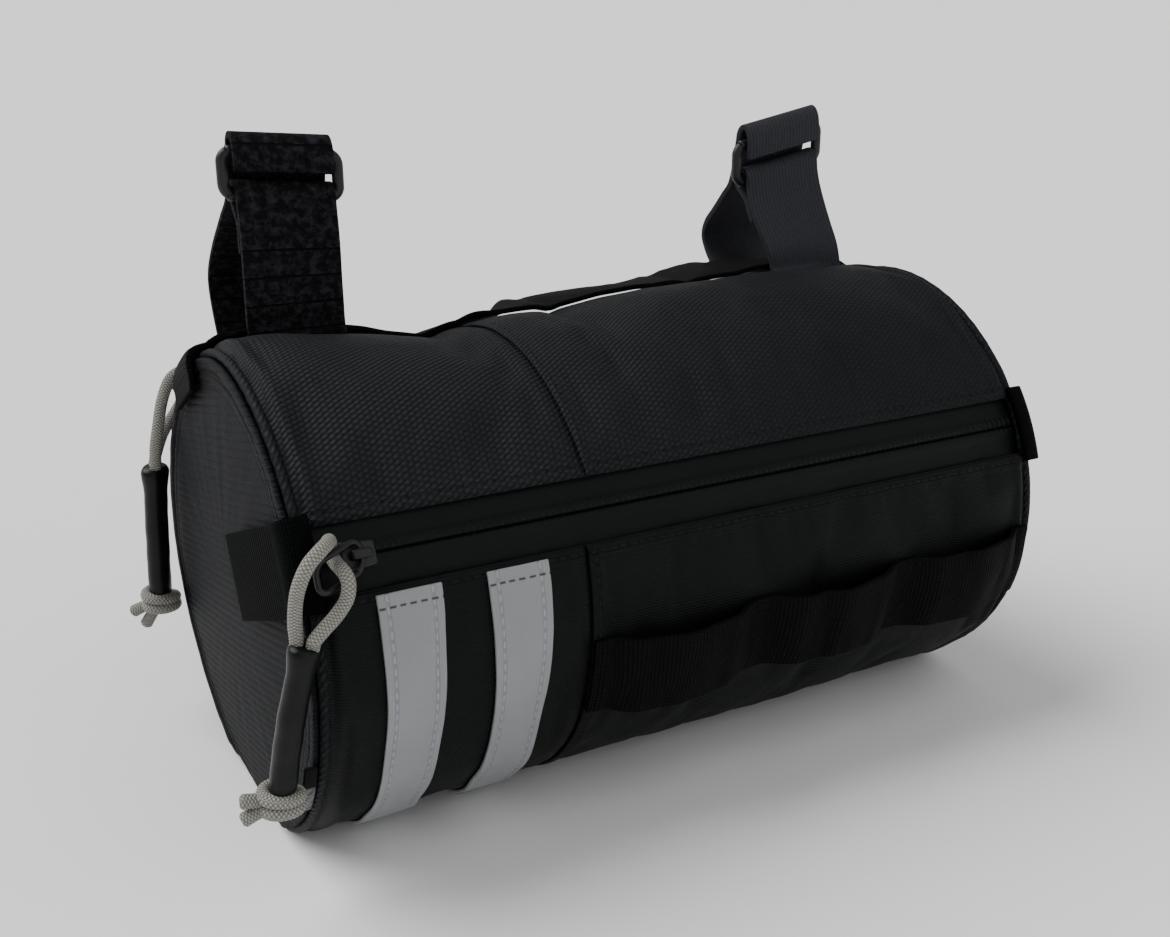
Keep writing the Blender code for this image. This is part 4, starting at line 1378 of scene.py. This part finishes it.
def strapSide(word, x):
    s = straps
    shape = s["shapes"][word]
    wide = s["width"]
    reach = s["bar"] / 2 + s["slack"] + s["thickness"] / 2
    high = ringHeight(shape) + s["barSpacing"] / 2
    low = ringHeight(shape) - s["barSpacing"] / 2
    fold = reach + shape["fold"] * wide
    line = [(s["ringY"] - reach, high - shape["flap"] * wide)]
    for turn in range(0, 181, 30):
        bent = math.radians(turn)
        line.append((s["ringY"] - reach * math.cos(bent), high + fold * math.sin(bent)))
    turn, lift, tilt = runAt(webbings["rear"], x / half)
    under = math.degrees(webbings["width"] / 2 / bag["radius"])
    base = []
    for share in (1.2, 0.6, 0.0, -0.6, -1.2):
        away = (lift + tilt * (1 + share) / 2) * webbings["width"] - 2 * bag["gap"] - s["thickness"] / 2
        point = barrelPoint(x, webbings["rearAngle"] + turn + share * under, away)
        base.append((point.y, point.z - bag["restHeight"]))
    for rise, share in s["rearBand"][word]:
        line.append((s["ringY"] + reach + shape["rearLean"] * wide * share, blend(base[0][1], low, rise)))
    line += base
    foot = base[-1][1]
    for rise, share in s["frontBand"]:
        line.append((s["ringY"] - reach - shape["frontLean"] * wide * share, blend(foot, low, rise)))
    for turn in range(0, 211, 30):
        bent = math.radians(turn)
        line.append((s["ringY"] - reach * math.cos(bent), low + reach * math.sin(bent)))
    for rise in s["tuckRises"]:
        rows = s["frontBand"]
        a, b = next(pair for pair in zip(rows, rows[1:]) if rise <= pair[1][0])
        lean = shape["frontLean"] * wide * blend(a[1], b[1], (rise - a[0]) / (b[0] - a[0]))
        line.append((s["ringY"] - reach - lean + s["tuckDepth"], blend(foot, low, rise)))
    return line


def ringShear(shape, height):
    top = ringHeight(shape)
    rise = ease((height - bag["radius"]) / (top - bag["radius"] - straps["barSpacing"]))
    return -math.tan(math.radians(shape["tilt"])) * rise, shape["slide"] * straps["width"] * rise


def addStrap(word, finish, ringFinish):
    s = straps
    shape = s["shapes"][word]
    middle = s["centre"] + shape["hand"] * s["spacing"] / 2
    count = 220
    across = 10
    lines = []
    for i in range(across + 1):
        line = strapSide(word, middle + (i / across - 0.5) * s["width"])
        lines.append(evenPoints(line, count + 1))

    def place(u, v):
        y, z = lines[round(u * across)][round(v * count)]
        x = (u - 0.5) * s["width"]
        slope, slid = ringShear(shape, z)
        return Vector((middle + x + slid, y, bag["restHeight"] + z + x * slope))

    long = routeLength(lines[across // 2])
    strap = shapedGrid(f"strap_{word}", (across, count), place, lambda u, v: (u * s["width"], v * long))
    thicken(strap, s["thickness"], 0, 0.0003)
    dress(strap, finish, [f"strap_{word}"])
    slope, slid = ringShear(shape, s["ringZ"])
    high = bag["restHeight"] + ringHeight(shape)
    route = []
    for x, z in roundedLoop((s["ringLength"] - s["bar"]) / 2, s["barSpacing"] / 2, s["corner"]):
        route.append(Vector((middle + slid + x, s["ringY"], high + z + x * slope)))
    route = evenPoints(route + [route[0]], 121)[:-1]
    ring = tube(f"ring_{word}", route, s["bar"] / 2, 16, closed=True)
    dress(ring, ringFinish, [f"ring_{word}"])


ringLook = plasticFinish("ring", 0.45, 0.3)
for word, looped in (("left", True), ("right", False)):
    addStrap(word, strapFinish(f"strap_{word}_cloth", looped), ringLook)
print("straps cinched")


# ---- floor and light

studio = {
    "floor": 0.88,
    "reach": 15.0,
    # the floor's outer rings: how many times wider than the one before, and how much higher
    "rings": ((10, 1.2), (1, 20.0)),
    "world": 0.4,
    # where each lamp stands, how soft it is in degrees, and its strength
    "lamps": {
        "key": ((-0.50, 0.42, 0.75), 50.0, 3.6),
        "fill": ((0.30, -0.70, 0.62), 70.0, 0.9),
    },
}


def addStage():
    bm = bmesh.new()
    bmesh.ops.create_grid(bm, x_segments=2, y_segments=2, size=studio["reach"])
    for wider, higher in studio["rings"]:
        rims = [edge for edge in bm.edges if edge.is_boundary]
        raised = bmesh.ops.extrude_edge_only(bm, edges=rims)["geom"]
        raised = [part for part in raised if isinstance(part, bmesh.types.BMVert)]
        bmesh.ops.scale(bm, vec=(wider, wider, 1), verts=raised)
        bmesh.ops.translate(bm, vec=(0, 0, higher), verts=raised)
    floor = addPiece("floor", bm)
    floor.data.shade_flat()
    look = Finish("floor_paper", 0.9, gloss=0.1)
    grain = look.speckle(look.place(), 40.0)
    low, high = ((studio["floor"] * s,) * 3 + (1.0,) for s in (0.99, 1.01))
    look.set("Base Color", look.blend(grain, low, high))
    floor.data.materials.append(look.material)
    floor.location.z = -0.0002
    world = bpy.data.worlds.new("studio")
    bpy.context.scene.world = world
    world.use_nodes = True
    back = world.node_tree.nodes["Background"]
    back.inputs["Color"].default_value = (1, 1, 1, 1)
    back.inputs["Strength"].default_value = studio["world"]
    for name, (towards, soft, power) in studio["lamps"].items():
        lamp = bpy.data.lights.new(name, "SUN")
        lamp.angle = math.radians(soft)
        lamp.energy = power
        holder = bpy.data.objects.new(name, lamp)
        holder.rotation_euler = Vector(towards).to_track_quat("Z", "Y").to_euler()
        bpy.context.scene.collection.objects.link(holder)


addStage()
print("studio lit")
